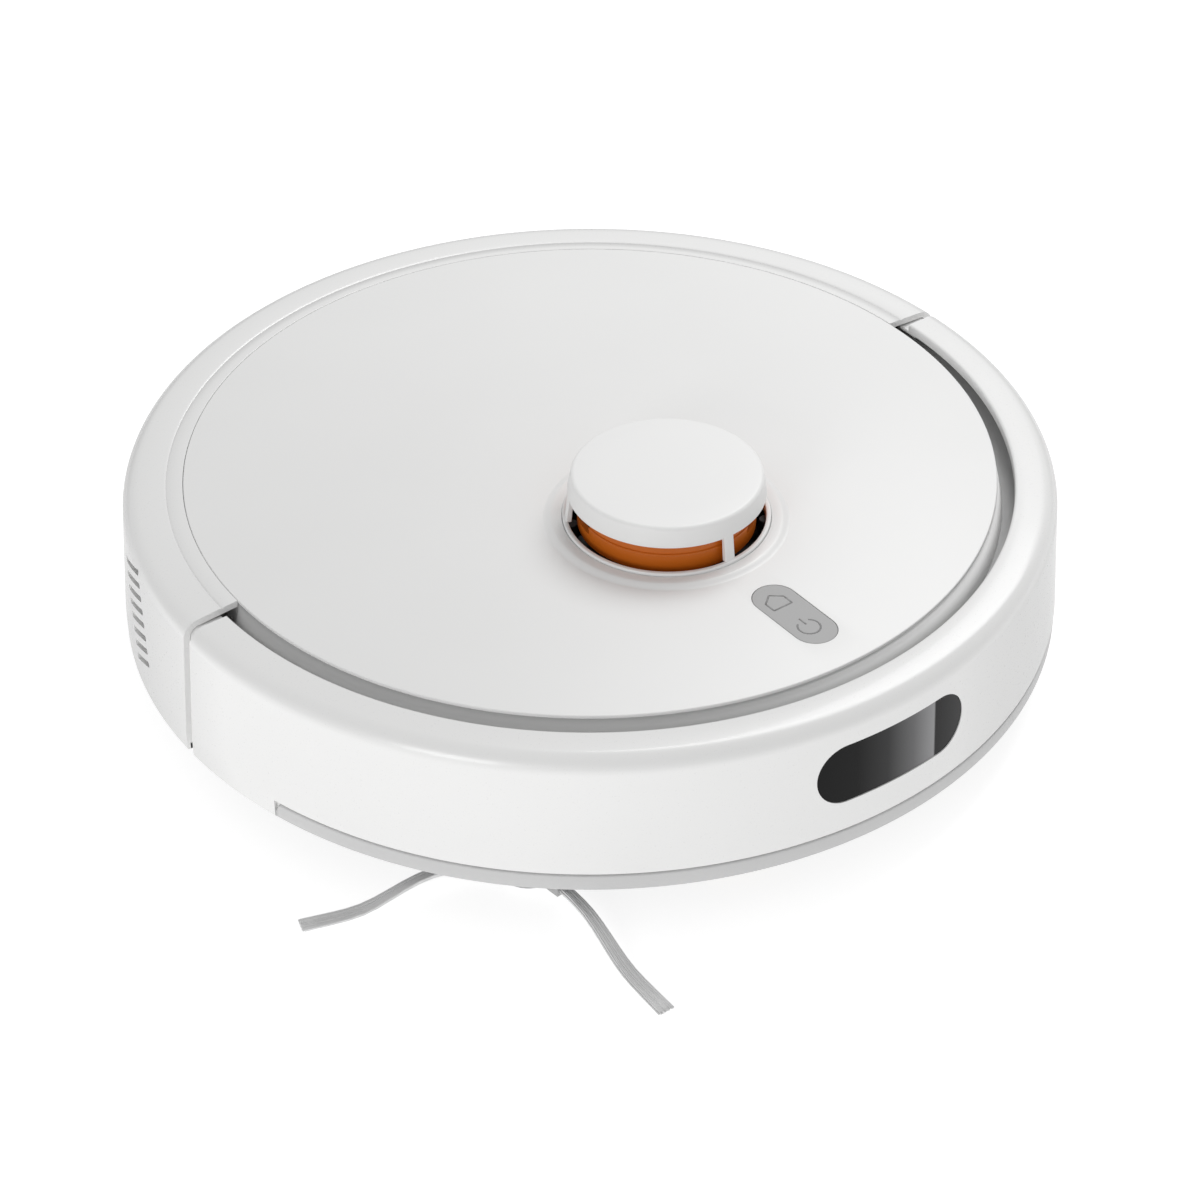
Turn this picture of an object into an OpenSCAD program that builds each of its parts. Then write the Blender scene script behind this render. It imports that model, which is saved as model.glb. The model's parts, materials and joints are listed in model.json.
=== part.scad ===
// Round robotic floor cleaner: a low disc body with a sprung bumper, a laser turret, two sprung
// drive wheels, a caster, a main brush, a three-arm side brush, a dust bin and a mop.
// The origin is on the floor under the centre of the body. The front faces -Y, +Z is up.

/* [Body] */
// Diameter of the round body at its widest
body_d = 350; // [344:1:356]
// Height of the top plate above the floor
top_z = 75; // [74:0.5:77]
// Height of the lower edge of the bumper and rear shell
skirt_z = 20; // [19.5:0.1:20.5]
// Height of the flat underside above the floor
belly_z = 10; // [9.8:0.1:10.2]
// Wall thickness of the outer shells
wall = 2.6; // [2.2:0.1:3]
// Radius of the shells' rounded upper edge
edge_r = 6.5; // [6:0.5:9]
// Radius of the flat top plate
plate_r = 150; // [148:0.5:151]

/* [Bumper] */
// Width of the groove between the top plate and the bumper
groove_w = 6.3; // [5.5:0.1:7]
// How far the bumper can be pushed back
bumper_travel = 3.5; // [3:0.1:3.5]
// Height of the soft strip along the lower edge
strip_h = 7; // [5:0.5:9]
// Half of the arc that the strip covers, in degrees
strip_half = 75; // [60:1:80]
// Width of the dark sensor window
window_w = 65; // [55:1:72]
// Height of the dark sensor window
window_h = 23.5; // [22:0.5:30]
// Height of the middle of the sensor window
window_z = 50.5; // [50:0.5:53]

/* [Turret] */
// Distance of the turret's axis in front of the centre
turret_y = -46; // [-47:0.5:-45]
// Radius of the low ring under the turret's cap
turret_r = 37.8; // [37.4:0.1:38]
// Radius of the turret cap's lower rim
cap_r = 35.8; // [35.5:0.1:36]
// Height of the cap's flat top above the floor
cap_top = 94.5; // [93.5:0.5:96]
// Height of the cap's lower rim
cap_rim_z = 86.6; // [86.4:0.1:87]

/* [Buttons] */
// Width of the rocking button pad
pad_w = 16.2; // [15:0.1:17]
// Length of the rocking button pad
pad_l = 37.4; // [36:0.1:39]
// Distance of the pad's middle in front of the centre
pad_y = -118; // [-120:0.5:-117]

/* [Wheels] */
// Outer diameter of each drive wheel
wheel_d = 70; // [69:0.5:70]
// Width of each tyre
tyre_w = 22; // [20:0.5:22]
// Distance from the body's centre line to the middle of each tyre
wheel_x = 117; // [116.5:0.5:117.5]
// Diameter of the caster wheel
caster_d = 26; // [25:0.5:26]
// Distance of the caster's swivel axis in front of the centre
caster_y = -125; // [-126:0.5:-124]

/* [Brushes] */
// Distance of the main brush's axis behind the centre
brush_y = 32; // [31.5:0.5:32.5]
// Height of the main brush's axis
brush_z = 21.5; // [21.5:0.1:22]
// Radius to the tips of the main brush's rows
brush_r = 19.5; // [18.5:0.5:19.5]
// Length of the main brush's core
brush_l = 160; // [156:1:160]
// Sideways and forward distance of the side brush from the centre
side_xy = 104; // [103:0.5:104]
// Length of a side brush tuft from the axis to its tip
side_reach = 82; // [72:1:82]

/* [Bin and mop] */
// Width of the dust bin
bin_w = 160; // [156:1:160]
// Distance of the bin's front wall behind the centre
bin_y = 62; // [62:0.5:64]
// Width of the mop bracket
mop_w = 210; // [190:1:214]

/* [Hidden] */
$fn = 96;

body_r = body_d / 2;
far = 400;                        // larger than the whole object, for cutting solids
fit_gap = 0.3;                    // gap between faces that pass each other
run_gap = 0.05;                   // radial running clearance of a shaft
rim_z = top_z - 1;                // the bumper's top stands a little below the top plate
lip_r = plate_r + groove_w;       // inner edge of the bumper's top
taper = 2.8;                      // how far the outer wall leans in towards its top
floor_t = 2.8;                    // thickness of the chassis floor
flange_r = 168;                   // outer edge of the chassis, under the shells
flange_z = 19.2;                  // top of that edge
inner_r = 164;                    // upright wall of the chassis
wall_top = 60;                    // top of that wall, where the middle frame sits
frame_t = 3;                      // thickness of the middle frame
plate_t = 2.6;                    // thickness of the top plate
seam_y = 1.5;                     // middle of the seams between bumper and rear shell
seam_gap = bumper_travel + 0.5;   // the pressed bumper stays clear of the rear shell
bin_z0 = 20;                      // underside of the dust bin
bin_z1 = 62;                      // top of the dust bin
face_z1 = 64;                     // top of the bin's outer face
bin_open = bin_w / 2 + 0.8;       // half width of the opening that the bin slides through
pulley_r = 20;                    // rotor pulley
view_mid = -126;                  // the rotor's two windows stand either side of this direction
view_half = 73;
motor_pulley_r = 4;               // turret motor pulley, a fifth of the rotor's
lds_motor_x = 45;                 // turret motor, beside the rotor
belt_z = 61.5;
belt_h = 3;
gear_m = 0.9;                     // tooth module of the main brush's gears
brush_teeth = 16;
idler_teeth = 26;
pinion_teeth = 10;
gear_x = -97;                     // outer face of the brush gears
gear_w = 4.5;
idler_z = brush_z + gear_m * (brush_teeth + idler_teeth) / 2;
pinion_z = idler_z + gear_m * (idler_teeth + pinion_teeth) / 2;
side_m = 0.8;                     // tooth module of the side brush's gears
side_teeth = 24;
side_pinion_teeth = 10;
side_span = side_m * (side_teeth + side_pinion_teeth) / 2;
side_pinion_xy = side_xy - side_span / sqrt(2);
side_arms = [149, 276, 35];       // directions of the three side brush arms
side_bends = [13, -8, 3];        // how far each tuft bends sideways towards its tip, in degrees
pivot_y = -45;                    // suspension pivot
pivot_z = 38;
speaker_at = [114, 61];
blower_at = [-116, 68];
blower_z = 20;                    // underside of the fan case
blower_r = 26;
switch_angles = [-135, -45];      // the two bumper switches
caster_trail = 5;                 // the caster wheel's axle is this far behind its swivel
slot_gaps = [-40, 0, 40];         // where the bars of the brush cover cross the brush
hinge_y = 7.9;                    // hinge of the brush cover, along its front edge
hinge_z = 9.9;
hinge_r = 1.3;
cliff_places = [[60, -131], [-60, -131], [137, -52], [-137, -52]];
screw_places = [[75, -118], [-68, -100], [136, 10], [-136, 10], [60, -10], [-60, -10]];

// ---------- shared shapes ----------

// Half section of the whole body, filled, up to the height top; inset shrinks it.
module body_section(top, inset = 0) {
  r = edge_r - inset;
  polygon([[0, skirt_z], [body_r - inset, skirt_z], [body_r - inset, 27],
    [body_r - taper - inset, top - edge_r], [body_r - taper - edge_r, top - inset], [0, top - inset]]);
  translate([body_r - taper - edge_r, top - edge_r]) circle(r);
}

// Thin half section of an outer shell whose flat top starts at the radius from.
module shell_section(top, from) {
  difference() {
    body_section(top);
    translate([0, -0.01]) body_section(top, wall);
    translate([-1, 0]) square([from + 1, far]);
  }
}

// A bar with round ends, along X, standing on z = 0.
module stadium(l, w, h) {
  linear_extrude(h) {
    square([l - w, w], center = true);
    for (s = [-1, 1]) translate([s * (l - w) / 2, 0]) circle(w / 2);
  }
}

// A tube standing on z = 0.
module tube(r_out, r_in, h) {
  difference() {
    cylinder(r = r_out, h = h);
    translate([0, 0, -1]) cylinder(r = r_in, h = h + 2);
  }
}

// Half spaces behind and in front of the upright plane y = from.
module back_of(from) { translate([-far / 2, from, -far / 2]) cube([far, far, far]); }
module front_of(from) { translate([-far / 2, from - far, -far / 2]) cube([far, far, far]); }

// A spur gear standing on z = 0, with a tooth on +X, or a gap there if shift is 0.5.
module gear(m, teeth, h, shift = 0) {
  r = m * teeth / 2;
  linear_extrude(h) {
    circle(r - 1.15 * m);
    for (i = [0 : teeth - 1]) rotate((i + shift) * 360 / teeth)
      polygon([[r - 1.4 * m, -0.72 * m], [r, -0.6 * m], [r + 0.8 * m, -0.3 * m],
        [r + 0.8 * m, 0.3 * m], [r, 0.6 * m], [r - 1.4 * m, 0.72 * m]]);
  }
}

// Puts what stands on +Z along +X, starting at x.
module along_x(x, y, z) { translate([x, y, z]) rotate([0, 90, 0]) children(); }

// ---------- body and covers ----------

// Floor pan with the inner wall, motor and board posts and every hole in the underside.
module chassis() color([0.16, 0.17, 0.18]) {
  difference() {
    rotate_extrude() polygon([[0, belly_z], [150, belly_z], [flange_r, 17.5], [flange_r, flange_z],
      [inner_r, flange_z], [inner_r, wall_top], [inner_r - 2.5, wall_top], [inner_r - 2.5, flange_z + 1],
      [149, belly_z + floor_t], [0, belly_z + floor_t]]);
    for (s = [-1, 1]) {
      translate([s * wheel_x - 14, -46, 0]) cube([28, 84, 19]);
      translate([s * 97.5 - 7, -23, 0]) cube([14, 35, 19]);
    }
    translate([-brush_l / 2 - 9, 6, 0]) cube([brush_l + 18, 52, 19]);
    translate([-side_xy, -side_xy, 0]) cylinder(r = 5, h = 19);
    translate([0, caster_y, 0]) cylinder(r = 23, h = 19);
    translate([-42, -98, 0]) cube([84, 68, 19]);
    for (s = [-1, 1]) translate([s * 40 - 9, -143, 0]) cube([18, 10, 19]);
    for (p = cliff_places) translate([p[0] - 8, p[1] - 3.5, 0]) cube([16, 7, 19]);
    for (i = [0 : 7]) translate([speaker_at[0] + 11 * cos(i * 45), speaker_at[1] + 11 * sin(i * 45), 0])
      cylinder(r = 2, h = 19);
    translate([speaker_at[0], speaker_at[1], 0]) cylinder(r = 3, h = 19);
    translate([-bin_open - 1, bin_y - 2, flange_z + 0.05]) cube([2 * bin_open + 2, far, far]);
    translate([-far / 2 - 150, 30, 26]) cube([far / 2, 32, 32]);
    for (a = switch_angles) rotate(a) translate([150, -2.5, wall_top - 5]) cube([20, 5, 3.5]);
  }
  for (x = [-56, 56], y = [-96, -24]) translate([x, y, belly_z + floor_t - 0.1])
    cylinder(r = 3, h = 46 - belly_z - floor_t + 0.1);
  for (s = [-1, 1], x = [s * 85, s * 109]) translate([x - 2, pivot_y - 5, belly_z + floor_t - 0.1])
    difference() {
      cube([4, 8.5, 32]);
      along_x(-1, 5, pivot_z - belly_z - floor_t + 0.1) cylinder(r = 2.5, h = 6);
    }
}

// Ring on the chassis wall that carries the plate and the rear shell, open behind for the bin.
module mid_frame() color([0.8, 0.8, 0.79]) difference() {
  translate([0, 0, wall_top]) tube(inner_r, 140, frame_t);
  translate([-bin_open - 1, 0, 0]) cube([2 * bin_open + 2, far, far]);
}

// Rear half of the outer casing, with the bin's opening and the exhaust slits.
module rear_shell() color([0.93, 0.93, 0.92]) difference() {
  union() {
    intersection() {
      rotate_extrude() shell_section(top_z, plate_r + 0.4);
      back_of(seam_y + seam_gap / 2);
    }
    intersection() {
      translate([0, 0, skirt_z]) tube(body_r - wall / 2, inner_r + 0.1, 2.5);
      back_of(seam_y + seam_gap / 2);
    }
  }
  translate([-bin_open, 0, 0]) cube([2 * bin_open, far, face_z1 + 0.6]);
  for (i = [0 : 6]) rotate(168.5 - i * 0.35) translate([150, 0, 63 - i * 5.6]) rotate([-42, 0, 0])
    translate([0, -(12 - i * 1.4) / 2, -1]) cube([30, 12 - i * 1.4, 2]);
}

// Flat round lid with the turret's raised collar, the button opening and a deep skirt.
module top_plate() color([0.9, 0.9, 0.89]) difference() {
  union() {
    translate([0, 0, top_z - plate_t]) cylinder(r = plate_r - 0.3, h = plate_t);
    translate([0, 0, wall_top + frame_t]) tube(plate_r - 0.3, plate_r - 3, top_z - wall_top - frame_t);
    translate([0, turret_y, top_z - 0.1]) cylinder(r1 = 46.5, r2 = 43.5, h = 1.3);
  }
  translate([0, turret_y, 0]) cylinder(r = turret_r + 0.1, h = far);
  translate([0, pad_y, 0]) rotate(90) stadium(pad_l + 0.8, pad_w + 0.8, far);
}

// ---------- bumper ----------

module bumper_body() intersection() {
  rotate_extrude() shell_section(rim_z, lip_r);
  front_of(seam_y - seam_gap / 2);
}

// The arc that the soft strip fills, as a solid from the radius from outwards.
module strip_arc(from, half, z1) intersection() {
  translate([0, 0, skirt_z - 1]) tube(body_r + 2, from, z1 - skirt_z + 1);
  linear_extrude(far) polygon([[0, 0], [-far * sin(half), -far * cos(half)],
    [-far, -far], [far, -far], [far * sin(half), -far * cos(half)]]);
}

module window_bar(grow) translate([0, -120, window_z]) rotate([90, 0, 0])
  stadium(window_w + 2 * grow, window_h + 2 * grow, 100);

// White front half of the casing, which slides back when the robot meets something.
module bumper() color([0.94, 0.94, 0.93]) difference() {
  bumper_body();
  strip_arc(body_r - 1.4, strip_half, skirt_z + strip_h);
  window_bar(0);
}

module bumper_strip() color([0.74, 0.74, 0.74]) intersection() {
  translate([0, 0, skirt_z]) tube(body_r, body_r - 1.35, strip_h - 0.5);
  strip_arc(body_r - 1.35, strip_half - 0.15, far);
}

// Dark glossy pane in front of the distance and infrared sensors.
module sensor_window() color([0.05, 0.05, 0.06]) intersection() {
  rotate_extrude() difference() {
    body_section(rim_z, 0.3);
    translate([0, -0.01]) body_section(rim_z, wall + 1.4);
  }
  window_bar(-0.15);
}

// Three small compression springs between the chassis wall and the bumper.
module bumper_springs() color([0.7, 0.7, 0.72]) for (a = [-125, -90, -55]) rotate(a)
  translate([inner_r, 0, 33]) rotate([0, 90, 0]) tube(3.2, 2.3, 5);

// Two microswitches behind the bumper, on the middle frame, with their levers.
module bumper_switches() color([0.12, 0.12, 0.13]) for (a = switch_angles) rotate(a) {
  translate([inner_r - 17, -6, wall_top - 6.5]) cube([14, 12, 6.5]);
  translate([inner_r - 3.2, -1.5, wall_top - 4]) cube([4.5, 3, 1.2]);
}

// ---------- laser turret ----------

// Plate on posts under the top plate, which carries the rotor's bearing and the motor.
module lds_base() color([0.2, 0.2, 0.22]) difference() {
  union() {
    translate([8, turret_y, 56]) stadium(100, 56, 2.2);
    for (x = [-28, 30], y = [-20, 20]) translate([x, turret_y + y, 58]) cylinder(r = 2.5, h = 14.4);
  }
  translate([0, turret_y, 50]) cylinder(r = 12, h = 20);
  translate([lds_motor_x, turret_y, 50]) cylinder(r = 3, h = 20);
}

module lds_bearing() color([0.75, 0.75, 0.77]) translate([0, turret_y, 55]) tube(12, 8 + run_gap, 4);

// White cap on three slim posts over a low ring, so that the laser sees out all round.
module lds_cover() color([0.95, 0.95, 0.94]) translate([0, turret_y, 0]) {
  rotate_extrude() polygon([[turret_r - 2, top_z - plate_t], [turret_r - 0.2, top_z - plate_t],
    [turret_r - 0.2, 76.2], [turret_r - 1, 77], [turret_r - 2, 77]]);
  rotate_extrude() difference() {
    union() {
      polygon([[0, cap_rim_z], [cap_r, cap_rim_z], [cap_r, cap_rim_z + 1.2], [cap_r - 1.2, cap_top - 1.6],
        [cap_r - 2.6, cap_top], [0, cap_top]]);
      translate([cap_r - 2.7, cap_top - 1.5]) circle(1.5);
    }
    polygon([[0, 0], [cap_r - 3, 0], [cap_r - 3, cap_rim_z + 2.5], [cap_r - 7, cap_rim_z + 5],
      [0, cap_rim_z + 5]]);
    translate([-10, 0]) square([10, far]);
  }
  for (a = [-90, 30, 150]) rotate(a) translate([0, 2.25, 0]) rotate([90, 0, 0]) linear_extrude(4.5)
    polygon([[turret_r - 3.4, 76.5], [turret_r - 0.7, 76.5], [cap_r - 0.1, 87.1], [cap_r - 2.4, 87.1]]);
}

// Rotating head with its belt pulley and shaft; the laser and its camera look out of it.
module lds_rotor() color([0.77, 0.33, 0.06]) translate([0, turret_y, 0]) difference() {
  union() {
    translate([0, 0, 54]) cylinder(r = 8, h = 8);
    translate([0, 0, 60]) cylinder(r = pulley_r, h = 5);
    translate([0, 0, 64]) cylinder(r = 14, h = 12);
    translate([0, 0, 73.6]) cylinder(r = 32.5, h = 12.4);
  }
  translate([0, 0, 76.6]) cylinder(r = 30, h = 20);
  for (s = [-1, 1]) rotate(view_mid + s * view_half) translate([20, -7, 78.5]) cube([20, 14, 6]);
}

// Laser tube and camera tube on their board, inside the rotating head.
module lds_optics() color([0.06, 0.06, 0.07]) translate([0, turret_y, 76.6]) {
  cylinder(r = 22, h = 1.6);
  for (s = [-1, 1]) rotate(view_mid + s * view_half) translate([12, 0, 4.6]) rotate([0, 90, 0]) {
    cylinder(r = 4.2, h = 16);
    cylinder(r = 2.9, h = 18);
  }
}

module lds_motor() color([0.6, 0.6, 0.62]) translate([lds_motor_x, turret_y, 0]) {
  translate([0, 0, 38]) cylinder(r = 8, h = 18);
}

module lds_motor_pulley() color([0.85, 0.85, 0.83]) translate([lds_motor_x, turret_y, 0]) {
  translate([0, 0, 56.4]) cylinder(r = 1, h = 10);
  translate([0, 0, 60.5]) cylinder(r = motor_pulley_r, h = 5);
}

// Outline of a loop round both pulleys, grown by g: an arc round each, joined by straight runs.
module belt_outline(g) {
  lean = acos((pulley_r - motor_pulley_r) / lds_motor_x);
  steps = 16;
  big = [for (i = [0 : 2 * steps]) lean + i * (180 - lean) / steps];
  small = [for (i = [0 : steps]) -lean + i * 2 * lean / steps];
  polygon(concat([for (t = big) (pulley_r + g) * [cos(t), sin(t)]],
    [for (t = small) [lds_motor_x, 0] + (motor_pulley_r + g) * [cos(t), sin(t)]]));
}

module lds_belt() color([0.1, 0.1, 0.1]) translate([0, turret_y, belt_z]) linear_extrude(belt_h)
  difference() {
    belt_outline(1.3);
    belt_outline(fit_gap);
  }

// ---------- buttons, boards and battery ----------

module button_pad() color([0.7, 0.7, 0.7]) {
  translate([0, pad_y, top_z - 1.6]) rotate(90) stadium(pad_l, pad_w, 1.6);
  for (s = [-1, 1]) translate([0, pad_y + s * 8.6, 71.2]) cylinder(r = 2, h = 2.4);
  along_x(-7, pad_y, 72.6) cylinder(r = 0.9, h = 14);
}

// Small board with two push switches and the cradle that the pad rocks on.
module button_board() color([0.1, 0.4, 0.25]) {
  translate([-9, pad_y - 20, 66]) cube([18, 40, 1.6]);
  for (s = [-1, 1]) translate([-3, pad_y + s * 8.6 - 3, 67.6]) cube([6, 6, 3.2]);
  for (s = [-1, 1]) translate([s * 5 - 1, pad_y - 1.5, 67.5]) difference() {
    cube([2, 3, 5.7]);
    along_x(-1, 1.5, 5.1) cylinder(r = 0.9 + run_gap, h = 4);
    translate([-1, 0.6, 5.1]) cube([4, 1.8, 2]);
  }
}

module main_board() color([0.05, 0.35, 0.2]) {
  difference() {
    translate([-60, -100, 46]) cube([120, 80, 1.6]);
    translate([lds_motor_x, turret_y, 40]) cylinder(r = 9, h = 10);
  }
  translate([-30, -60, 47.5]) cube([18, 18, 1.8]);
  translate([-2, -84, 47.5]) cube([12, 16, 1.6]);
  for (i = [0 : 3]) translate([-54 + i * 14, -97, 47.5]) cube([10, 6, 6]);
  for (i = [0 : 2]) translate([-48, -74 + i * 12, 47.5]) cylinder(r = 4, h = 7);
}

// Four cells side by side in a shrink sleeve.
module battery_pack() color([0.15, 0.3, 0.55]) {
  for (i = [0 : 3]) translate([(i - 1.5) * 18.6, -97, 24]) rotate([-90, 0, 0]) cylinder(r = 9.2, h = 65);
  translate([-28, -97, 16]) cube([56, 65, 16]);
}

module battery_cover() color([0.2, 0.21, 0.22]) {
  translate([-41.7, -97.7, belly_z]) cube([83.4, 67.4, 2.4]);
  translate([-12, -97.7, belly_z - 0.8]) cube([24, 8, 1]);
}

module speaker() color([0.1, 0.1, 0.1]) translate([speaker_at[0], speaker_at[1], belly_z + floor_t])
  difference() {
  union() {
    cylinder(r = 17, h = 5);
    cylinder(r = 10, h = 13);
  }
  translate([0, 0, -1]) cylinder(r1 = 14, r2 = 6, h = 4);
}

// ---------- suction ----------

// Round fan case with its inlet to the bin and its outlet behind the exhaust slits.
module blower_housing() color([0.25, 0.25, 0.27]) difference() {
  union() {
    translate([blower_at[0], blower_at[1], blower_z]) cylinder(r = blower_r, h = 20);
    translate([-100, blower_at[1] - 12, 26]) cube([16, 36, 14]);
    translate([-158, 37, 28]) cube([24, 22, 26]);
  }
  translate([blower_at[0], blower_at[1], blower_z + 2]) cylinder(r = blower_r - 2, h = 16);
  translate([blower_at[0], blower_at[1], blower_z + 10]) cylinder(r = 3, h = 20);
  translate([-110, blower_at[1] - 10, 28]) cube([40, 32, 9]);
  translate([-160, 39, 30]) cube([24, 18, 22]);
  translate([-140, 46, 30]) cube([18, 11, 7]);
}

module fan_impeller() color([0.85, 0.85, 0.85]) translate([blower_at[0], blower_at[1], 0]) {
  translate([0, 0, 23]) cylinder(r = 21, h = 1.5);
  translate([0, 0, 23]) cylinder(r = 6, h = 12);
  translate([0, 0, 34]) cylinder(r = 1.5, h = 12);
  for (i = [0 : 8]) rotate(i * 40) translate([5, -0.6, 24]) cube([15.5, 1.2, 9]);
}

module blower_motor() color([0.55, 0.55, 0.57]) translate([blower_at[0], blower_at[1], 0])
  difference() {
    translate([0, 0, 40]) cylinder(r = 15, h = 18);
    translate([0, 0, 39]) cylinder(r = 1.5 + run_gap, h = 10);
  }

// Shape that the bin fills, up to the body's own curved wall; inset shrinks it.
module bin_block(inset, z0, z1) intersection() {
  translate([-bin_w / 2 + inset, bin_y + inset, z0]) cube([bin_w - 2 * inset, far, z1 - z0]);
  rotate_extrude() body_section(top_z, inset * 1.3);
}

// Deep tray with the rear face of the robot on it, an inlet in front and a filter window.
module dust_bin() color([0.75, 0.77, 0.8]) difference() {
  union() {
    bin_block(0, bin_z0, bin_z1 - 2);
    intersection() {
      bin_block(0, bin_z0, face_z1);
      rotate_extrude() shell_section(top_z, inner_r);
    }
  }
  bin_block(2, bin_z0 + 2, bin_z1);
  translate([-52, bin_y - 1, 26]) cube([104, 4, 20]);
  translate([-bin_w / 2 - 1, 84, 26]) cube([4, 50, 26]);
  latch_hole(0.35);
}

module latch_hole(grow) translate([-15 - grow, 160, 50 - grow]) cube([30 + 2 * grow, 30, 8 + 2 * grow]);

module bin_lid() color([0.55, 0.57, 0.6]) intersection() {
  bin_block(0.4, bin_z1 - 2, bin_z1);
  cylinder(r = body_r - 2 * wall - 1, h = far);
}

// Flap that closes the inlet when the bin is carried; the air stream lifts it inwards.
module bin_flap() color([0.3, 0.3, 0.32]) {
  translate([-54, bin_y + 2.4, 24]) cube([108, 1.4, 23]);
  along_x(-56, bin_y + 3.1, 47.6) cylinder(r = 1, h = 112);
}

module filter_frame() color([0.9, 0.9, 0.88]) difference() {
  translate([-bin_w / 2 + 2.1, 82, 24]) cube([7, 54, 30]);
  translate([-bin_w / 2, 85, 27]) cube([12, 48, 24]);
}

module filter_element() color([0.95, 0.95, 0.92]) for (i = [0 : 11])
  translate([-bin_w / 2 + 3, 85.1 + i * 4, 27]) cube([5, 3.8, 24]);

// Push button on the rear face that frees the bin.
module bin_latch() color([0.5, 0.5, 0.52]) intersection() {
  latch_hole(0);
  cylinder(r = body_r - taper, h = far, $fn = 720);
  translate([-far / 2, 168, 0]) cube([far, far, far]);
}

// ---------- mop ----------

module mop_outline(inset, z0, z1) intersection() {
  translate([-mop_w / 2 + inset, 66 + inset, z0]) cube([mop_w - 2 * inset, far, z1 - z0]);
  cylinder(r = 158 - inset, h = far);
}

module mop_bracket() color([0.35, 0.36, 0.38]) {
  mop_outline(0, 4.4, 7.4);
  difference() {
    mop_outline(0, 7.3, belly_z - fit_gap);
    mop_outline(3, 0, far);
  }
  for (x = [-60, 0, 60]) translate([x - 1.5, 67, 7.3]) cube([3, 70, belly_z - fit_gap - 7.3]);
}

module mop_pad() color([0.55, 0.6, 0.68]) mop_outline(2, 0.4, 4.4);

// ---------- main brush ----------

module main_brush_core() color([0.25, 0.25, 0.27]) {
  along_x(-brush_l / 2, brush_y, brush_z) cylinder(r = 9, h = brush_l);
  along_x(-brush_l / 2 - 12.5, brush_y, brush_z) cylinder(r = 3.5, h = brush_l + 20);
}

// Six rows of bristles and rubber strips, with gaps where the cover's bars cross.
module main_brush_bristles() color([0.85, 0.35, 0.1]) difference() {
  for (i = [0 : 5]) along_x(-brush_l / 2 + 2, brush_y, brush_z) rotate(i * 60)
    translate([8.8, -1, 0]) cube([brush_r - 8.8, 2, brush_l - 4]);
  along_x(-brush_l, brush_y, brush_z) cylinder(r = 9, h = 2 * brush_l);
  for (x = slot_gaps) translate([x - 3.5, brush_y - 30, brush_z - 30]) cube([7, 60, 60]);
}

// Gears at the brush's right-hand end, in one upright row.
module brush_gear() color([0.9, 0.9, 0.88])
  along_x(gear_x, brush_y, brush_z) difference() {
    gear(gear_m, brush_teeth, gear_w);
    translate([0, 0, 4.49]) cylinder(r = 3.5, h = 5);
  }

module brush_idler() color([0.9, 0.9, 0.88]) along_x(gear_x, brush_y, idler_z) {
  gear(gear_m, idler_teeth, gear_w, 0.5);
  translate([0, 0, -2]) cylinder(r = 2, h = gear_w + 4);
}

module brush_pinion() color([0.8, 0.7, 0.3]) along_x(gear_x, brush_y, pinion_z) {
  gear(gear_m, pinion_teeth, gear_w, 0);
  cylinder(r = 1.2, h = 12);
}

// Vaulted case over the brush with the duct that leads the dust back into the bin.
module brush_housing() color([0.2, 0.2, 0.22]) difference() {
  union() {
    translate([-brush_l / 2 - 10, 8, belly_z + floor_t]) cube([brush_l + 20, 48, 10]);
    along_x(-brush_l / 2 - 10, brush_y, brush_z) cylinder(r = 23, h = brush_l + 20);
    translate([-56, 44, 22]) cube([112, 17.5, 26]);
  }
  along_x(-brush_l / 2 - 1.5, brush_y, brush_z) cylinder(r = 21, h = brush_l + 3);
  translate([-brush_l / 2 - 1.5, brush_y - 21, 0]) cube([brush_l + 3, 42, brush_z]);
  translate([-far / 2, 0, -far + belly_z + floor_t]) cube([far, far, far]);
  translate([-52, 34, 26]) cube([104, 40, 18]);
  along_x(-far / 2, brush_y, brush_z) cylinder(r = 3.5 + run_gap, h = far);
}

module brush_motor() color([0.6, 0.6, 0.62]) difference() {
  along_x(-86, brush_y, pinion_z) cylinder(r = 10, h = 50);
  along_x(-90, brush_y, pinion_z) cylinder(r = 1.2 + run_gap, h = 8);
}

// Frame under the brush that hinges at its rolled front edge, with three bars across the mouth.
module brush_cover() color([0.3, 0.3, 0.32]) {
  difference() {
    translate([-brush_l / 2 - 8.5, hinge_y, hinge_z - hinge_r])
      cube([brush_l + 17, 49.5, 2 * hinge_r]);
    translate([-brush_l / 2 - 2, brush_y - 17.5, 0]) cube([brush_l + 4, 35, far]);
  }
  along_x(-brush_l / 2 - 8.5, hinge_y, hinge_z) cylinder(r = hinge_r, h = brush_l + 17);
  for (x = slot_gaps) translate([x - 1.5, brush_y - 18, 3]) cube([3, 36, 7]);
  for (x = slot_gaps) translate([x - 1.5, brush_y - 18, 3]) cube([3, 2, 8]);
}

// ---------- side brush ----------

module at_side_brush(z) translate([-side_xy, -side_xy, z]) children();
module at_side_pinion(z) translate([-side_pinion_xy, -side_pinion_xy, z]) children();

module side_brush_hub() color([0.45, 0.45, 0.46]) at_side_brush(0) {
  translate([0, 0, 4]) cylinder(r = 11, h = 5.4);
  translate([0, 0, 9]) cylinder(r = 3, h = 27);
  translate([0, 0, 24]) rotate(45) gear(side_m, side_teeth, 5);
  for (a = side_arms) rotate(a) translate([8, -3, 4]) cube([10, 6, 4.4]);
}

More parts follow.
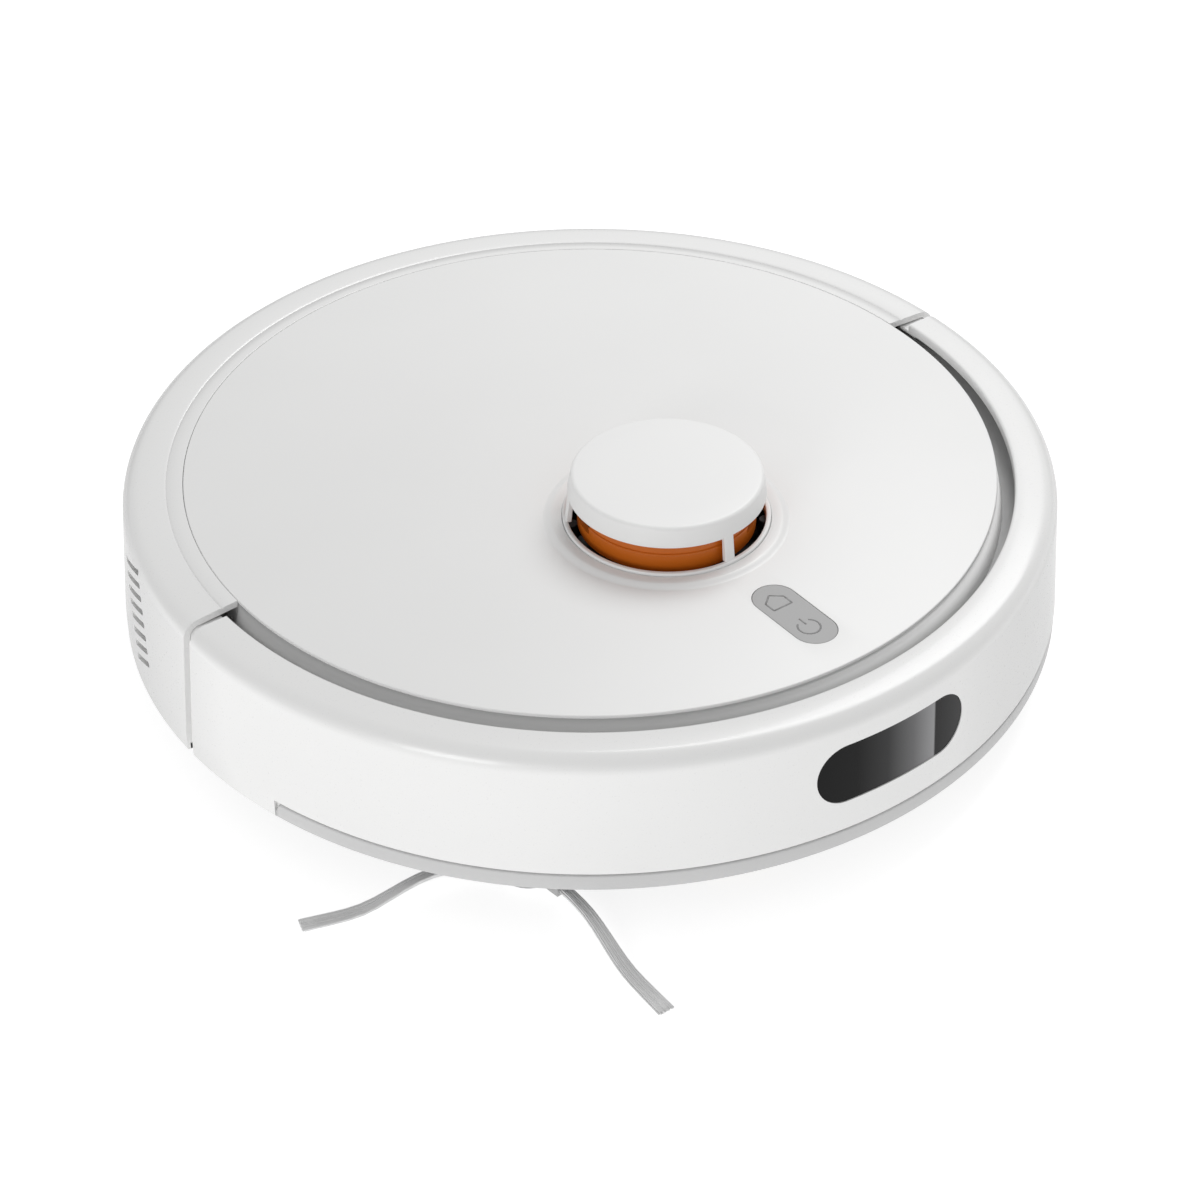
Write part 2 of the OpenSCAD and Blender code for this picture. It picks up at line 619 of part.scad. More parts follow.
// Outline from above of a tuft that widens outwards and bends sideways by up to bend degrees.
module tuft_plan(bend) {
  spots = [[17, 0, 1.8], [30, 0.35, 2.1], [43, 0.65, 2.4], [56, 0.85, 2.7], [69, 1, 3],
    [side_reach, 1, 3.2]];
  edge = function(p, s) [p[0] * cos(bend * p[1]) - s * p[2] * sin(bend * p[1]),
    p[0] * sin(bend * p[1]) + s * p[2] * cos(bend * p[1])];
  last = len(spots) - 1;
  polygon(concat([for (p = spots) edge(p, -1)], [for (i = [0 : last]) edge(spots[last - i], 1)]));
}

// Three flat tufts that lean down from the hub and then spread along the floor.
module side_brush_bristles() color([0.75, 0.75, 0.76]) at_side_brush(0) for (i = [0 : 2])
  rotate(side_arms[i]) intersection() {
    linear_extrude(9) tuft_plan(side_bends[i]);
    translate([0, 20, 0]) rotate([90, 0, 0]) linear_extrude(40) polygon([[18, 4.2], [18, 8], [34, 7.6],
      [46, 5.2], [58, 2.4], [side_reach + 2, 1.2], [side_reach + 2, 0.5], [56, 0.8], [44, 2.6], [30, 4.4]]);
  }

// Closed gear case above the brush, with its bores for the brush shaft and the motor shaft.
module side_gearbox() color([0.25, 0.25, 0.27]) difference() {
  union() {
    at_side_brush(20) cylinder(r = 12.4, h = 18);
    at_side_pinion(20) cylinder(r = 9, h = 18);
  }
  at_side_brush(22) cylinder(r = 11, h = 14);
  at_side_pinion(22) cylinder(r = 6, h = 14);
  at_side_brush(10) cylinder(r = 3 + run_gap, h = 26.5);
  at_side_pinion(10) cylinder(r = 1 + run_gap, h = 40);
}

module side_pinion() color([0.8, 0.7, 0.3]) at_side_pinion(0) {
  translate([0, 0, 24]) rotate(45) gear(side_m, side_pinion_teeth, 5, 0.5);
  translate([0, 0, 23]) cylinder(r = 1, h = 17);
}

module side_motor() color([0.6, 0.6, 0.62]) difference() {
  at_side_pinion(38) cylinder(r = 7.5, h = 20);
  at_side_pinion(37) cylinder(r = 1 + run_gap, h = 5);
}

// ---------- caster ----------

module caster_socket() color([0.2, 0.2, 0.22]) translate([0, caster_y, 0]) difference() {
  translate([0, 0, belly_z]) cylinder(r = 23, h = 25);
  translate([0, 0, belly_z - 1]) cylinder(r = 20.6, h = 21);
  cylinder(r = 3 + run_gap, h = far);
}

module caster_fork() color([0.12, 0.12, 0.13]) translate([0, caster_y, 0]) difference() {
  union() {
    translate([0, 0, belly_z + 0.6]) cylinder(r = 20.2, h = 18.6);
    translate([0, 0, 28]) cylinder(r = 3, h = 10);
  }
  translate([-7.6, caster_trail - 14.4, 0]) cube([15.2, 28.8, 27.6]);
  along_x(-17, caster_trail, caster_d / 2) cylinder(r = 1.5 + run_gap, h = 34);
}

module caster_wheel() color([0.3, 0.3, 0.3]) {
  along_x(-7, caster_y + caster_trail, caster_d / 2) cylinder(r = caster_d / 2, h = 14);
  along_x(-14, caster_y + caster_trail, caster_d / 2) cylinder(r = 1.5, h = 28);
}

// ---------- drive wheels ----------

// Swinging gear case with its motor and axle, for the left side (+X).
module wheel_arm() color([0.22, 0.22, 0.24]) difference() {
  union() {
    along_x(92, pivot_y, pivot_z) cylinder(r = 8, h = 12);
    along_x(92, 0, wheel_d / 2) cylinder(r = 11, h = 12);
    translate([92, pivot_y, 27]) cube([12, -pivot_y, 18]);
    along_x(63, -20, 36) cylinder(r = 12, h = 30);
    along_x(104, 0, wheel_d / 2) cylinder(r = 4, h = wheel_x + tyre_w / 2 - 106);
  }
  along_x(80, pivot_y, pivot_z) cylinder(r = 2.5 + run_gap, h = 40);
}

module wheel_hub() color([0.35, 0.35, 0.36])
  along_x(wheel_x - tyre_w / 2 + 1, 0, wheel_d / 2) difference() {
    cylinder(r = wheel_d / 2 - 6, h = tyre_w - 2);
    translate([0, 0, -1]) cylinder(r = 4 + run_gap, h = tyre_w - 2);
    for (i = [0 : 4]) rotate(i * 72) translate([17, 0, tyre_w - 7]) cylinder(r = 5, h = 10);
  }

// Rubber tyre with blocks across its tread.
module tyre() color([0.1, 0.1, 0.1])
  along_x(wheel_x - tyre_w / 2, 0, wheel_d / 2) difference() {
    tube(wheel_d / 2, wheel_d / 2 - 6, tyre_w);
    for (i = [0 : 23]) rotate(i * 15 + 7.5) translate([wheel_d / 2 - 1.6, -1.2, -1])
      cube([4, 2.4, tyre_w + 2]);
  }

module mirrored() mirror([1, 0, 0]) children();
module left_wheel_arm() wheel_arm();
module left_wheel_hub() wheel_hub();
module left_tyre() tyre();
module right_wheel_arm() mirrored() wheel_arm();
module right_wheel_hub() mirrored() wheel_hub();
module right_tyre() mirrored() tyre();

// The fixed steel pins that the two wheel arms swing on, each with its torsion spring.
module suspension_pins() color([0.7, 0.7, 0.72]) for (s = [-1, 1]) {
  along_x(s * 97 - 14, pivot_y, pivot_z) cylinder(r = 2.5, h = 28);
  along_x(s * 89.5 - 2, pivot_y, pivot_z) tube(5, 3.4, 4);
}

// ---------- underside ----------

module charging_contacts() color([0.8, 0.7, 0.45]) for (s = [-1, 1])
  translate([s * 40 - 9, -143, belly_z - 0.6]) cube([18, 10, 3]);

module cliff_sensors() color([0.08, 0.05, 0.05]) for (p = cliff_places)
  translate([p[0] - 8, p[1] - 3.5, belly_z + 0.2]) cube([16, 7, 6]);

// Pan heads of the screws that hold the floor pan.
module chassis_screws() color([0.6, 0.6, 0.6]) for (p = screw_places)
  translate([p[0], p[1], belly_z - 0.4]) cylinder(r = 3, h = 0.4);

chassis();
mid_frame();
rear_shell();
top_plate();
bumper();
bumper_strip();
sensor_window();
bumper_springs();
bumper_switches();
lds_base();
lds_bearing();
lds_cover();
lds_rotor();
lds_optics();
lds_motor();
lds_motor_pulley();
lds_belt();
button_pad();
button_board();
main_board();
battery_pack();
battery_cover();
speaker();
blower_housing();
fan_impeller();
blower_motor();
dust_bin();
bin_lid();
bin_flap();
filter_frame();
filter_element();
bin_latch();
mop_bracket();
mop_pad();
main_brush_core();
main_brush_bristles();
brush_gear();
brush_idler();
brush_pinion();
brush_housing();
brush_motor();
brush_cover();
side_brush_hub();
side_brush_bristles();
side_gearbox();
side_pinion();
side_motor();
caster_socket();
caster_fork();
caster_wheel();
left_wheel_arm();
left_wheel_hub();
left_tyre();
right_wheel_arm();
right_wheel_hub();
right_tyre();
suspension_pins();
charging_contacts();
cliff_sensors();
chassis_screws();
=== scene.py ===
"""The looks of a round robotic floor cleaner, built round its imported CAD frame.

Everything is in metres in the frame of the CAD model: the origin is on the floor under the centre of
the body, the front faces -Y and +Z is up.
"""

import json
import math
import random

import bmesh
import bpy
from mathutils import Matrix, Vector


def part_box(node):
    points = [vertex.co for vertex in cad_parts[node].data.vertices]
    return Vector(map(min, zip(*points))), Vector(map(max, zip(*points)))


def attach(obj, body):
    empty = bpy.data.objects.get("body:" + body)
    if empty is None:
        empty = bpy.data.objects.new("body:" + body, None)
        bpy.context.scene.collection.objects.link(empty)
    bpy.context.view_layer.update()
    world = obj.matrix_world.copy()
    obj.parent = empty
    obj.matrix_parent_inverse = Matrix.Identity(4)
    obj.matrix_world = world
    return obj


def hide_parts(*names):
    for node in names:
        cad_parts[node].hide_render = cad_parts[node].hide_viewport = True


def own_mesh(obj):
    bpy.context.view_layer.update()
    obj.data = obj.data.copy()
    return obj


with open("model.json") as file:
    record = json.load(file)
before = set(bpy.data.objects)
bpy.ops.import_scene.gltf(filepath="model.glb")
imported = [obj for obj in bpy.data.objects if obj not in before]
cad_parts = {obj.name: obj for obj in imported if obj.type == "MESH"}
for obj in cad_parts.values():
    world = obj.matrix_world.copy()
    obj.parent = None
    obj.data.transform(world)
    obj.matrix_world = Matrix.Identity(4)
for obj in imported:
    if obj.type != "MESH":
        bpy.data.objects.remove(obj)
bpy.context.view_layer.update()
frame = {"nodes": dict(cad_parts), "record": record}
MM = 0.001
AXIS = 0.001 * MM                            # radius at which a lathe outline closes on its axis
rng = random.Random(7)


def span(node):
    """Middle and half size of a CAD node's box."""
    low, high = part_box(node)
    return (low + high) / 2, (high - low) / 2


# ---------------------------------------------------------------- sizes, from the frame
BODY_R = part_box("bumper")[1].x               # outer radius of the body
SHELL_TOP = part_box("rear_shell")[1].z        # top of the rear shell and of the plate's flat
RIM_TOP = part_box("bumper")[1].z              # top of the bumper
SKIRT_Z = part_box("bumper")[0].z              # lower edge of bumper and shell
PLATE_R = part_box("top_plate")[1].x           # radius of the flat plate
SEAM_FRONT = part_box("bumper")[1].y           # rear ends of the bumper
SEAM_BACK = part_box("rear_shell")[0].y        # front ends of the rear shell
STRIP_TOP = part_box("bumper_strip")[1].z      # upper edge of the soft strip
FRAME_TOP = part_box("mid_frame")[1].z         # floor of the groove
GROOVE = 6.3 * MM                            # width of the groove round the plate
TAPER = 2.8 * MM                             # how far the walls lean in
EDGE_R = 6.5 * MM                            # radius of the rounded shoulder
WALL = 2.6 * MM                              # thickness of the outer shells
TURRET = span("lds_cover")[0]                # the turret's axis, in x and y
RING_R = span("lds_cover")[1].x              # outer radius of the low ring under the cap
CAP_R = RING_R - 1.8 * MM                    # radius of the cap's rim
CAP_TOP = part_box("lds_cover")[1].z           # top of the turret
CAP_RIM = CAP_TOP - 7.9 * MM                 # lower rim of the cap
PAD = span("button_pad")[0]                  # middle of the button
FACE_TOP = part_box("dust_bin")[1].z           # upper edge of the bin's outer face
BIN_HALF = span("dust_bin")[1].x             # half of that face's width
RIM_SLOPE = 0.9 * MM                         # how far the rear rim falls towards the shoulder


# ---------------------------------------------------------------- mesh helpers
def new_object(name, mesh):
    """A new object for the mesh, linked to the scene."""
    obj = bpy.data.objects.new(name, mesh)
    bpy.context.scene.collection.objects.link(obj)
    return obj


def from_faces(name, verts, faces):
    """An object from plain lists, with its faces turned outwards."""
    mesh = bpy.data.meshes.new(name)
    mesh.from_pydata([tuple(v) for v in verts], [], faces)
    obj = new_object(name, mesh)
    tidy(obj, merge=False)
    return obj


def tidy(obj, merge=True, dissolve=0.0):
    """Merges doubled points, dissolves nearly flat edges if asked, and turns smooth faces outwards."""
    bm = bmesh.new()
    bm.from_mesh(obj.data)
    if merge:
        bmesh.ops.remove_doubles(bm, verts=bm.verts, dist=2e-6)
    if dissolve:
        bmesh.ops.dissolve_limit(bm, angle_limit=dissolve, verts=bm.verts, edges=bm.edges)
    bmesh.ops.recalc_face_normals(bm, faces=bm.faces)
    for f in bm.faces:
        f.smooth = True
    bm.to_mesh(obj.data)
    bm.free()


def arc(cx, cz, r, start, end, steps):
    """Points on an arc in the section plane; angles in degrees from +r towards +z."""
    turn = [math.radians(start + (end - start) * i / steps) for i in range(steps + 1)]
    return [(cx + r * math.cos(t), cz + r * math.sin(t)) for t in turn]


def lathe(name, outline, start=0.0, end=360.0, steps=180, centre=(0.0, 0.0)):
    """A closed (radius, z) outline turned about the vertical line through centre, in degrees."""
    whole = abs(end - start) >= 359.999
    rings = steps if whole else steps + 1
    verts, faces, n = [], [], len(outline)
    for i in range(rings):
        a = math.radians(start + (end - start) * i / steps)
        for r, z in outline:
            verts.append((centre[0] + r * math.cos(a), centre[1] + r * math.sin(a), z))
    for i in range(steps):
        j = (i + 1) % rings
        for k in range(n):
            m = (k + 1) % n
            faces.append((i * n + k, j * n + k, j * n + m, i * n + m))
    if not whole:
        faces.append(tuple(range(n)))
        faces.append(tuple(steps * n + k for k in range(n))[::-1])
    obj = from_faces(name, verts, faces)
    tidy(obj)
    return obj


def box_mesh(name, low, high):
    """A plain block between two corners, used as a cutter and for the floor."""
    (x0, y0, z0), (x1, y1, z1) = low, high
    verts = [(x, y, z) for z in (z0, z1) for x, y in ((x0, y0), (x1, y0), (x1, y1), (x0, y1))]
    faces = [(3, 2, 1, 0), (4, 5, 6, 7), (0, 1, 5, 4), (1, 2, 6, 5), (2, 3, 7, 6), (3, 0, 4, 7)]
    return from_faces(name, verts, faces)


def stadium(length, width, steps=16):
    """Outline points of a bar with round ends along x, anticlockwise."""
    r, half = width / 2, length / 2 - width / 2
    right = arc(half, 0, r, -90, 90, steps)
    left = arc(-half, 0, r, 90, 270, steps)
    return right + left


def prism(name, outline, z0, z1, place=Matrix.Identity(4)):
    """A flat outline pulled from z0 to z1 and then placed."""
    n = len(outline)
    verts = [place @ Vector((x, y, z)) for z in (z0, z1) for x, y in outline]
    faces = [tuple(range(n))[::-1], tuple(range(n, 2 * n))]
    faces += [(i, (i + 1) % n, n + (i + 1) % n, n + i) for i in range(n)]
    return from_faces(name, verts, faces)


def tube(name, points, radius, sides=8, taper=None):
    """A swept round bar through points; taper gives the radius share at each point."""
    verts, faces, n = [], [], len(points)
    for i, p in enumerate(points):
        ahead = points[min(i + 1, n - 1)] - points[max(i - 1, 0)]
        side = ahead.cross(Vector((0, 0, 1)))
        side = side.normalized() if side.length > 1e-9 else Vector((1, 0, 0))
        up = side.cross(ahead).normalized()
        r = radius * (taper(i / (n - 1)) if taper else 1)
        for k in range(sides):
            t = 2 * math.pi * k / sides
            verts.append(p + side * r * math.cos(t) + up * r * math.sin(t))
    for i in range(n - 1):
        for k in range(sides):
            m = (k + 1) % sides
            faces.append((i * sides + k, i * sides + m, (i + 1) * sides + m, (i + 1) * sides + k))
    faces.append(tuple(range(sides))[::-1])
    faces.append(tuple((n - 1) * sides + k for k in range(sides)))
    return from_faces(name, verts, faces)


def join(name, parts):
    """Several objects made into one."""
    bm = bmesh.new()
    for part in parts:
        part.data.transform(part.matrix_world)
        bm.from_mesh(part.data)
    mesh = bpy.data.meshes.new(name)
    bm.to_mesh(mesh)
    bm.free()
    for part in parts:
        bpy.data.objects.remove(part)
    obj = new_object(name, mesh)
    for p in mesh.polygons:
        p.use_smooth = True
    return obj


def bake(obj):
    """Applies the modifiers."""
    bpy.context.view_layer.update()
    done = bpy.data.meshes.new_from_object(obj.evaluated_get(bpy.context.evaluated_depsgraph_get()))
    obj.modifiers.clear()
    obj.data = done
    return obj


def cut(obj, *cutters):
    """Takes the cutters out of obj and removes them."""
    for cutter in cutters:
        mod = obj.modifiers.new("cut", "BOOLEAN")
        mod.operation = "DIFFERENCE"
        mod.solver = "EXACT"
        mod.object = cutter
        bake(obj)
        bpy.data.objects.remove(cutter)
    tidy(obj)
    return obj


def round_edges(obj, width, segments=3, angle=32):
    """Small moulded radii on every sharp edge."""
    mod = obj.modifiers.new("edges", "BEVEL")
    mod.width = width
    mod.segments = segments
    mod.limit_method = "ANGLE"
    mod.angle_limit = math.radians(angle)
    mod.harden_normals = True
    mod.use_clamp_overlap = True
    return obj


# ---------------------------------------------------------------- materials
def shader(name):
    """A new node material with its nodes, its links and its shader."""
    mat = bpy.data.materials.new(name)
    mat.use_nodes = True
    return mat, mat.node_tree.nodes, mat.node_tree.links, mat.node_tree.nodes["Principled BSDF"]


def noise(nodes, links, scale, detail=3.0):
    """A noise texture in the piece's own coordinates."""
    place = nodes.new("ShaderNodeTexCoord")
    tex = nodes.new("ShaderNodeTexNoise")
    tex.inputs["Scale"].default_value = scale
    tex.inputs["Detail"].default_value = detail
    links.new(place.outputs["Object"], tex.inputs["Vector"])
    return tex


def ramp(nodes, links, source, low, high, start=0.3, end=0.7):
    """A colour ramp from low to high over the source."""
    node = nodes.new("ShaderNodeValToRGB")
    node.color_ramp.elements[0].position = start
    node.color_ramp.elements[0].color = (*low, 1)
    node.color_ramp.elements[1].position = end
    node.color_ramp.elements[1].color = (*high, 1)
    links.new(source, node.inputs["Fac"])
    return node


def moulded(name, colour, rough=0.4, vary=0.04, grain=900.0, bump=0.05, coat=0.0, rough_vary=0.06,
            metal=0.0, painted_edge_shade=1.0):
    """Moulded plastic or plain metal: slight colour drift, grained roughness and a fine texture.

    painted_edge_shade gives painted shade: the share of the colour that is left where the surface turns away
    from the eye, so that far edges come out darker as if less light fell on them."""
    mat, nodes, links, out = shader(name)
    drift = noise(nodes, links, 14.0)
    low = tuple(c * (1 - vary) for c in colour)
    high = tuple(min(1.0, c * (1 + vary)) for c in colour)
    tint = ramp(nodes, links, drift.outputs["Fac"], low, high).outputs["Color"]
    # painted shade: the colour is darkened where the surface turns away from the eye
    if painted_edge_shade < 1.0:
        facing = nodes.new("ShaderNodeLayerWeight")
        facing.inputs["Blend"].default_value = 0.5
        shade = ramp(nodes, links, facing.outputs["Facing"], (1, 1, 1), (painted_edge_shade,) * 3, 0.52, 0.88)
        mix = nodes.new("ShaderNodeMix")
        mix.data_type = "RGBA"
        mix.blend_type = "MULTIPLY"
        mix.inputs["Factor"].default_value = 1.0
        links.new(tint, mix.inputs["A"])
        links.new(shade.outputs["Color"], mix.inputs["B"])
        tint = mix.outputs["Result"]
    links.new(tint, out.inputs["Base Color"])
    fine = noise(nodes, links, grain, 2.0)
    r0, r1 = max(0.02, rough - rough_vary), min(1.0, rough + rough_vary)
    blur = ramp(nodes, links, fine.outputs["Fac"], (r0,) * 3, (r1,) * 3)
    links.new(blur.outputs["Color"], out.inputs["Roughness"])
    relief = nodes.new("ShaderNodeBump")
    relief.inputs["Strength"].default_value = bump
    relief.inputs["Distance"].default_value = 0.0002
    links.new(fine.outputs["Fac"], relief.inputs["Height"])
    links.new(relief.outputs["Normal"], out.inputs["Normal"])
    out.inputs["Metallic"].default_value = metal
    out.inputs["Coat Weight"].default_value = coat
    out.inputs["Coat Roughness"].default_value = 0.08
    return mat


def window_glass():
    """Smoked pane: nearly black, with a band of painted reflection that brightens towards one side and stops
    at a sharp edge; the band also stands in for the paler flat of a sensor board behind the middle.
    """
    mat, nodes, links, out = shader("smoked_window")
    place = nodes.new("ShaderNodeTexCoord")
    split = nodes.new("ShaderNodeSeparateXYZ")
    links.new(place.outputs["Object"], split.inputs["Vector"])
    across = nodes.new("ShaderNodeMapRange")
    across.inputs["From Min"].default_value = -0.034
    across.inputs["From Max"].default_value = 0.034
    links.new(split.outputs["X"], across.inputs["Value"])
    painted_reflection = nodes.new("ShaderNodeValToRGB")
    # painted reflection: grey levels across the pane, rising to their brightest just before a sharp drop
    reflection_stops = [(0.0, 0.004), (0.26, 0.006), (0.45, 0.035), (0.62, 0.14), (0.765, 0.30), (0.775, 0.008),
             (1.0, 0.03)]
    ramp_stops = painted_reflection.color_ramp.elements
    while len(ramp_stops) < len(reflection_stops):
        ramp_stops.new(0.5)
    for stop, (at, grey) in zip(ramp_stops, reflection_stops):
        stop.position = at
        stop.color = (grey, grey, grey * 1.02, 1)
    links.new(across.outputs["Result"], painted_reflection.inputs["Fac"])
    links.new(painted_reflection.outputs["Color"], out.inputs["Base Color"])
    smear = noise(nodes, links, 60.0)
    links.new(ramp(nodes, links, smear.outputs["Fac"], (0.05,) * 3, (0.12,) * 3).outputs["Color"],
              out.inputs["Roughness"])
    out.inputs["Specular IOR Level"].default_value = 0.12
    return mat


# white shell with painted shade on the edges that turn away from the eye
WHITE = moulded("white_shell", (0.84, 0.84, 0.835), rough=0.3, vary=0.008, grain=1600, bump=0.015, coat=0.2,
                rough_vary=0.03, painted_edge_shade=0.62)
PLATE_WHITE = moulded("plate_white", (0.84, 0.84, 0.835), rough=0.36, vary=0.008, grain=2200, bump=0.03,
                      rough_vary=0.04)
TURRET_WHITE = moulded("turret_white", (0.88, 0.88, 0.875), rough=0.42, vary=0.008, grain=2200, bump=0.03)
FRAME_GREY = moulded("frame_grey", (0.46, 0.46, 0.46), rough=0.6, vary=0.03)
STRIP_GREY = moulded("strip_grey", (0.58, 0.58, 0.58), rough=0.55, vary=0.02, grain=1500, bump=0.08)
CHASSIS_BLACK = moulded("chassis_black", (0.030, 0.031, 0.033), rough=0.58, vary=0.12, grain=1100, bump=0.35)
PART_GREY = moulded("part_grey", (0.075, 0.077, 0.08), rough=0.5, vary=0.10, grain=1100, bump=0.25)
ORANGE = moulded("rotor_orange", (0.62, 0.145, 0.010), rough=0.34, vary=0.05, grain=900, bump=0.05)
BUTTON_GREY = moulded("button_grey", (0.40, 0.40, 0.40), rough=0.45, vary=0.02, grain=2000, bump=0.06)
ICON_GREY = moulded("icon_grey", (0.27, 0.27, 0.27), rough=0.5, vary=0.02)
CIRCUIT = moulded("circuit_green", (0.015, 0.11, 0.045), rough=0.35, vary=0.15, grain=500, bump=0.1, coat=0.4)
CELL_BLUE = moulded("cell_blue", (0.02, 0.07, 0.24), rough=0.3, vary=0.08, grain=300, bump=0.1)
STEEL = moulded("steel", (0.62, 0.62, 0.64), rough=0.32, vary=0.05, grain=700, bump=0.08, metal=1.0)
BRASS = moulded("brass", (0.72, 0.52, 0.22), rough=0.28, vary=0.06, grain=700, bump=0.05, metal=1.0)
HUB_GREY = moulded("hub_grey", (0.42, 0.42, 0.42), rough=0.5, vary=0.06, grain=1100, bump=0.2)
RUBBER = moulded("rubber_black", (0.022, 0.022, 0.022), rough=0.75, vary=0.15, grain=1000, bump=0.4)
GEAR_WHITE = moulded("gear_white", (0.74, 0.73, 0.68), rough=0.45, vary=0.03, grain=900, bump=0.08)
SMOKE = moulded("smoke_lid", (0.12, 0.125, 0.13), rough=0.14, vary=0.06, grain=500, bump=0.02, coat=0.4)
PAPER = moulded("filter_paper", (0.80, 0.79, 0.72), rough=0.85, vary=0.05, grain=700, bump=0.5)
LENS = moulded("lens_dark", (0.03, 0.004, 0.006), rough=0.08, vary=0.1, grain=200, bump=0.0, coat=0.5)
TUFT_GREY = moulded("tuft_grey", (0.86, 0.86, 0.86), rough=0.5, vary=0.08, grain=300, bump=0.1)
TUFT_ORANGE = moulded("tuft_orange", (0.60, 0.16, 0.02), rough=0.5, vary=0.12, grain=300, bump=0.1)
CLOTH = moulded("mop_cloth", (0.16, 0.20, 0.26), rough=0.9, vary=0.12, grain=600, bump=0.6)
FRAME_WHITE = moulded("frame_white", (0.80, 0.80, 0.795), rough=0.45, vary=0.02)
WINDOW = window_glass()


def paint(obj, mat):
    obj.data.materials.clear()
    obj.data.materials.append(mat)
    return obj


def place(obj, body, mat, slot, *nodes):
    """Gives a new piece its material and its body, and hides the CAD nodes that it stands for."""
    paint(obj, mat)
    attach(obj, body)
    if nodes:
        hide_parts(*nodes)
    return obj


NODE_BODY = {n: b for b, ns in frame["record"]["behaviour"]["bodies"].items() for n in ns}
NODE_SLOT = {s["node"]: s["material_slot"] for s in frame["record"]["subparts"]}


def dress(node, mat, edge=0.3 * MM, angle=32):
    """The CAD node's own shape with clean shading and moulded radii, in place of the bare node."""
    mesh = frame["nodes"][node].data.copy()
    mesh.name = node + "_look"
    obj = new_object(node + "_look", mesh)
    for name in [a.name for a in mesh.attributes if a.name == "custom_normal"]:
        mesh.attributes.remove(mesh.attributes[name])
    tidy(obj, dissolve=math.radians(1.0))
    round_edges(obj, edge, angle=angle)
    return place(obj, NODE_BODY[node], mat, NODE_SLOT[node], node)


# ---------------------------------------------------------------- outer shells
def keep_side(obj, y, back):
    """Cuts obj with the upright plane at y and keeps the part behind it (back) or in front of it."""
    bm = bmesh.new()
    bm.from_mesh(obj.data)
    geom = bm.verts[:] + bm.edges[:] + bm.faces[:]
    cut_through = bmesh.ops.bisect_plane(bm, geom=geom, plane_co=(0, y, 0), plane_no=(0, 1, 0),
                                         clear_inner=back, clear_outer=not back)
    rim = [e for e in cut_through["geom_cut"] if isinstance(e, bmesh.types.BMEdge)]
    bmesh.ops.holes_fill(bm, edges=rim, sides=0)
    bmesh.ops.recalc_face_normals(bm, faces=bm.faces)
    for f in bm.faces:
        f.smooth = True
    bm.to_mesh(obj.data)
    bm.free()


def wall_radius(z, top):
    """Outer radius of the leaning wall at the height z, for a shell whose flat top is at top."""
    low, high = 27 * MM, top - EDGE_R
    share = min(1.0, max(0.0, (z - low) / (high - low)))
    return BODY_R - TAPER * share


def shell_outline(top, lip, inset=0.0, thick=WALL, bottom=SKIRT_Z, lip_drop=0.0, slope=0.0, lip_r=0.6 * MM,
                  crease=None):
    """Half section of an outer shell: wall, rounded shoulder and a rim that rises by slope to the radius lip.

    crease is the radius of a shallow line pressed into the rim."""
    shoulder_r = BODY_R - TAPER - EDGE_R
    outer = BODY_R - inset
    soft = 0.5 * MM
    points = [(outer - thick, bottom), (outer - soft, bottom), (outer, bottom + soft)]
    steps, straight, shoulder_z = 10, STRIP_TOP + 1.2 * MM, top - slope - EDGE_R
    for i in range(steps):
        z = straight + (shoulder_z - straight) * i / steps
        points.append((wall_radius(z, top - slope) - inset, z))
    tilt = math.degrees(math.atan2(slope, shoulder_r - lip))
    points += arc(shoulder_r, shoulder_z, EDGE_R - inset, 0, 90 - tilt, 16)
    if crease:
        half, deep = 0.8 * MM, 0.45 * MM
        for r, drop in ((crease + half, 0), (crease, deep), (crease - half, 0)):
            points.append((r, top - inset - drop - slope * (r - lip) / (shoulder_r - lip)))
    points += arc(lip + lip_r, top - inset - lip_r, lip_r, 90, 180, 4)
    points += [(lip, top - inset - thick - lip_drop), (lip + 1.6 * MM, top - inset - thick - lip_drop)]
    points += [(lip + 1.6 * MM, top - inset - thick)]
    points += arc(shoulder_r, shoulder_z, EDGE_R - inset - thick, 90, 0, 10)
    return points


STRIP_HALF = 75.0                            # degrees either side of the front
FRONT = -90.0                                # direction of the front, in degrees
FRONT_ARC = (-184, 4)                        # a little more than the front half, before it is cut at the seam
REAR_ARC = (-4, 184)
SHELL_STEPS = 300


def bumper_piece():
    """White front shell with the strip's recess and the window's opening."""
    outline = shell_outline(RIM_TOP, PLATE_R + 0.3 * MM + GROOVE, lip_drop=0.9 * MM, lip_r=1.0 * MM)
    whole = lathe("bumper_look", outline, *FRONT_ARC, SHELL_STEPS)
    keep_side(whole, SEAM_FRONT, back=False)
    inner, outer, low, high = BODY_R - 1.4 * MM, BODY_R + 3 * MM, SKIRT_Z - 2 * MM, STRIP_TOP + 0.9 * MM
    recess = lathe("recess", [(inner, low), (outer, low), (outer, high), (inner, high)],
                   FRONT - STRIP_HALF, FRONT + STRIP_HALF, 240)
    cut(whole, recess, window_prism("opening", 0.0))
    round_edges(whole, 0.35 * MM)
    return place(whole, "bumper", WHITE, "white_shell", "bumper")


def window_prism(name, grow):
    """Solid bar with round ends along X that passes through the front wall."""
    middle, half = span("sensor_window")
    outline = stadium(2 * half.x + 0.3 * MM + 2 * grow, 2 * half.z + 0.3 * MM + 2 * grow, 28)
    turn = Matrix.Rotation(math.radians(90), 4, "X")
    return prism(name, outline, 0.12, 0.22, Matrix.Translation((0, 0, middle.z)) @ turn)


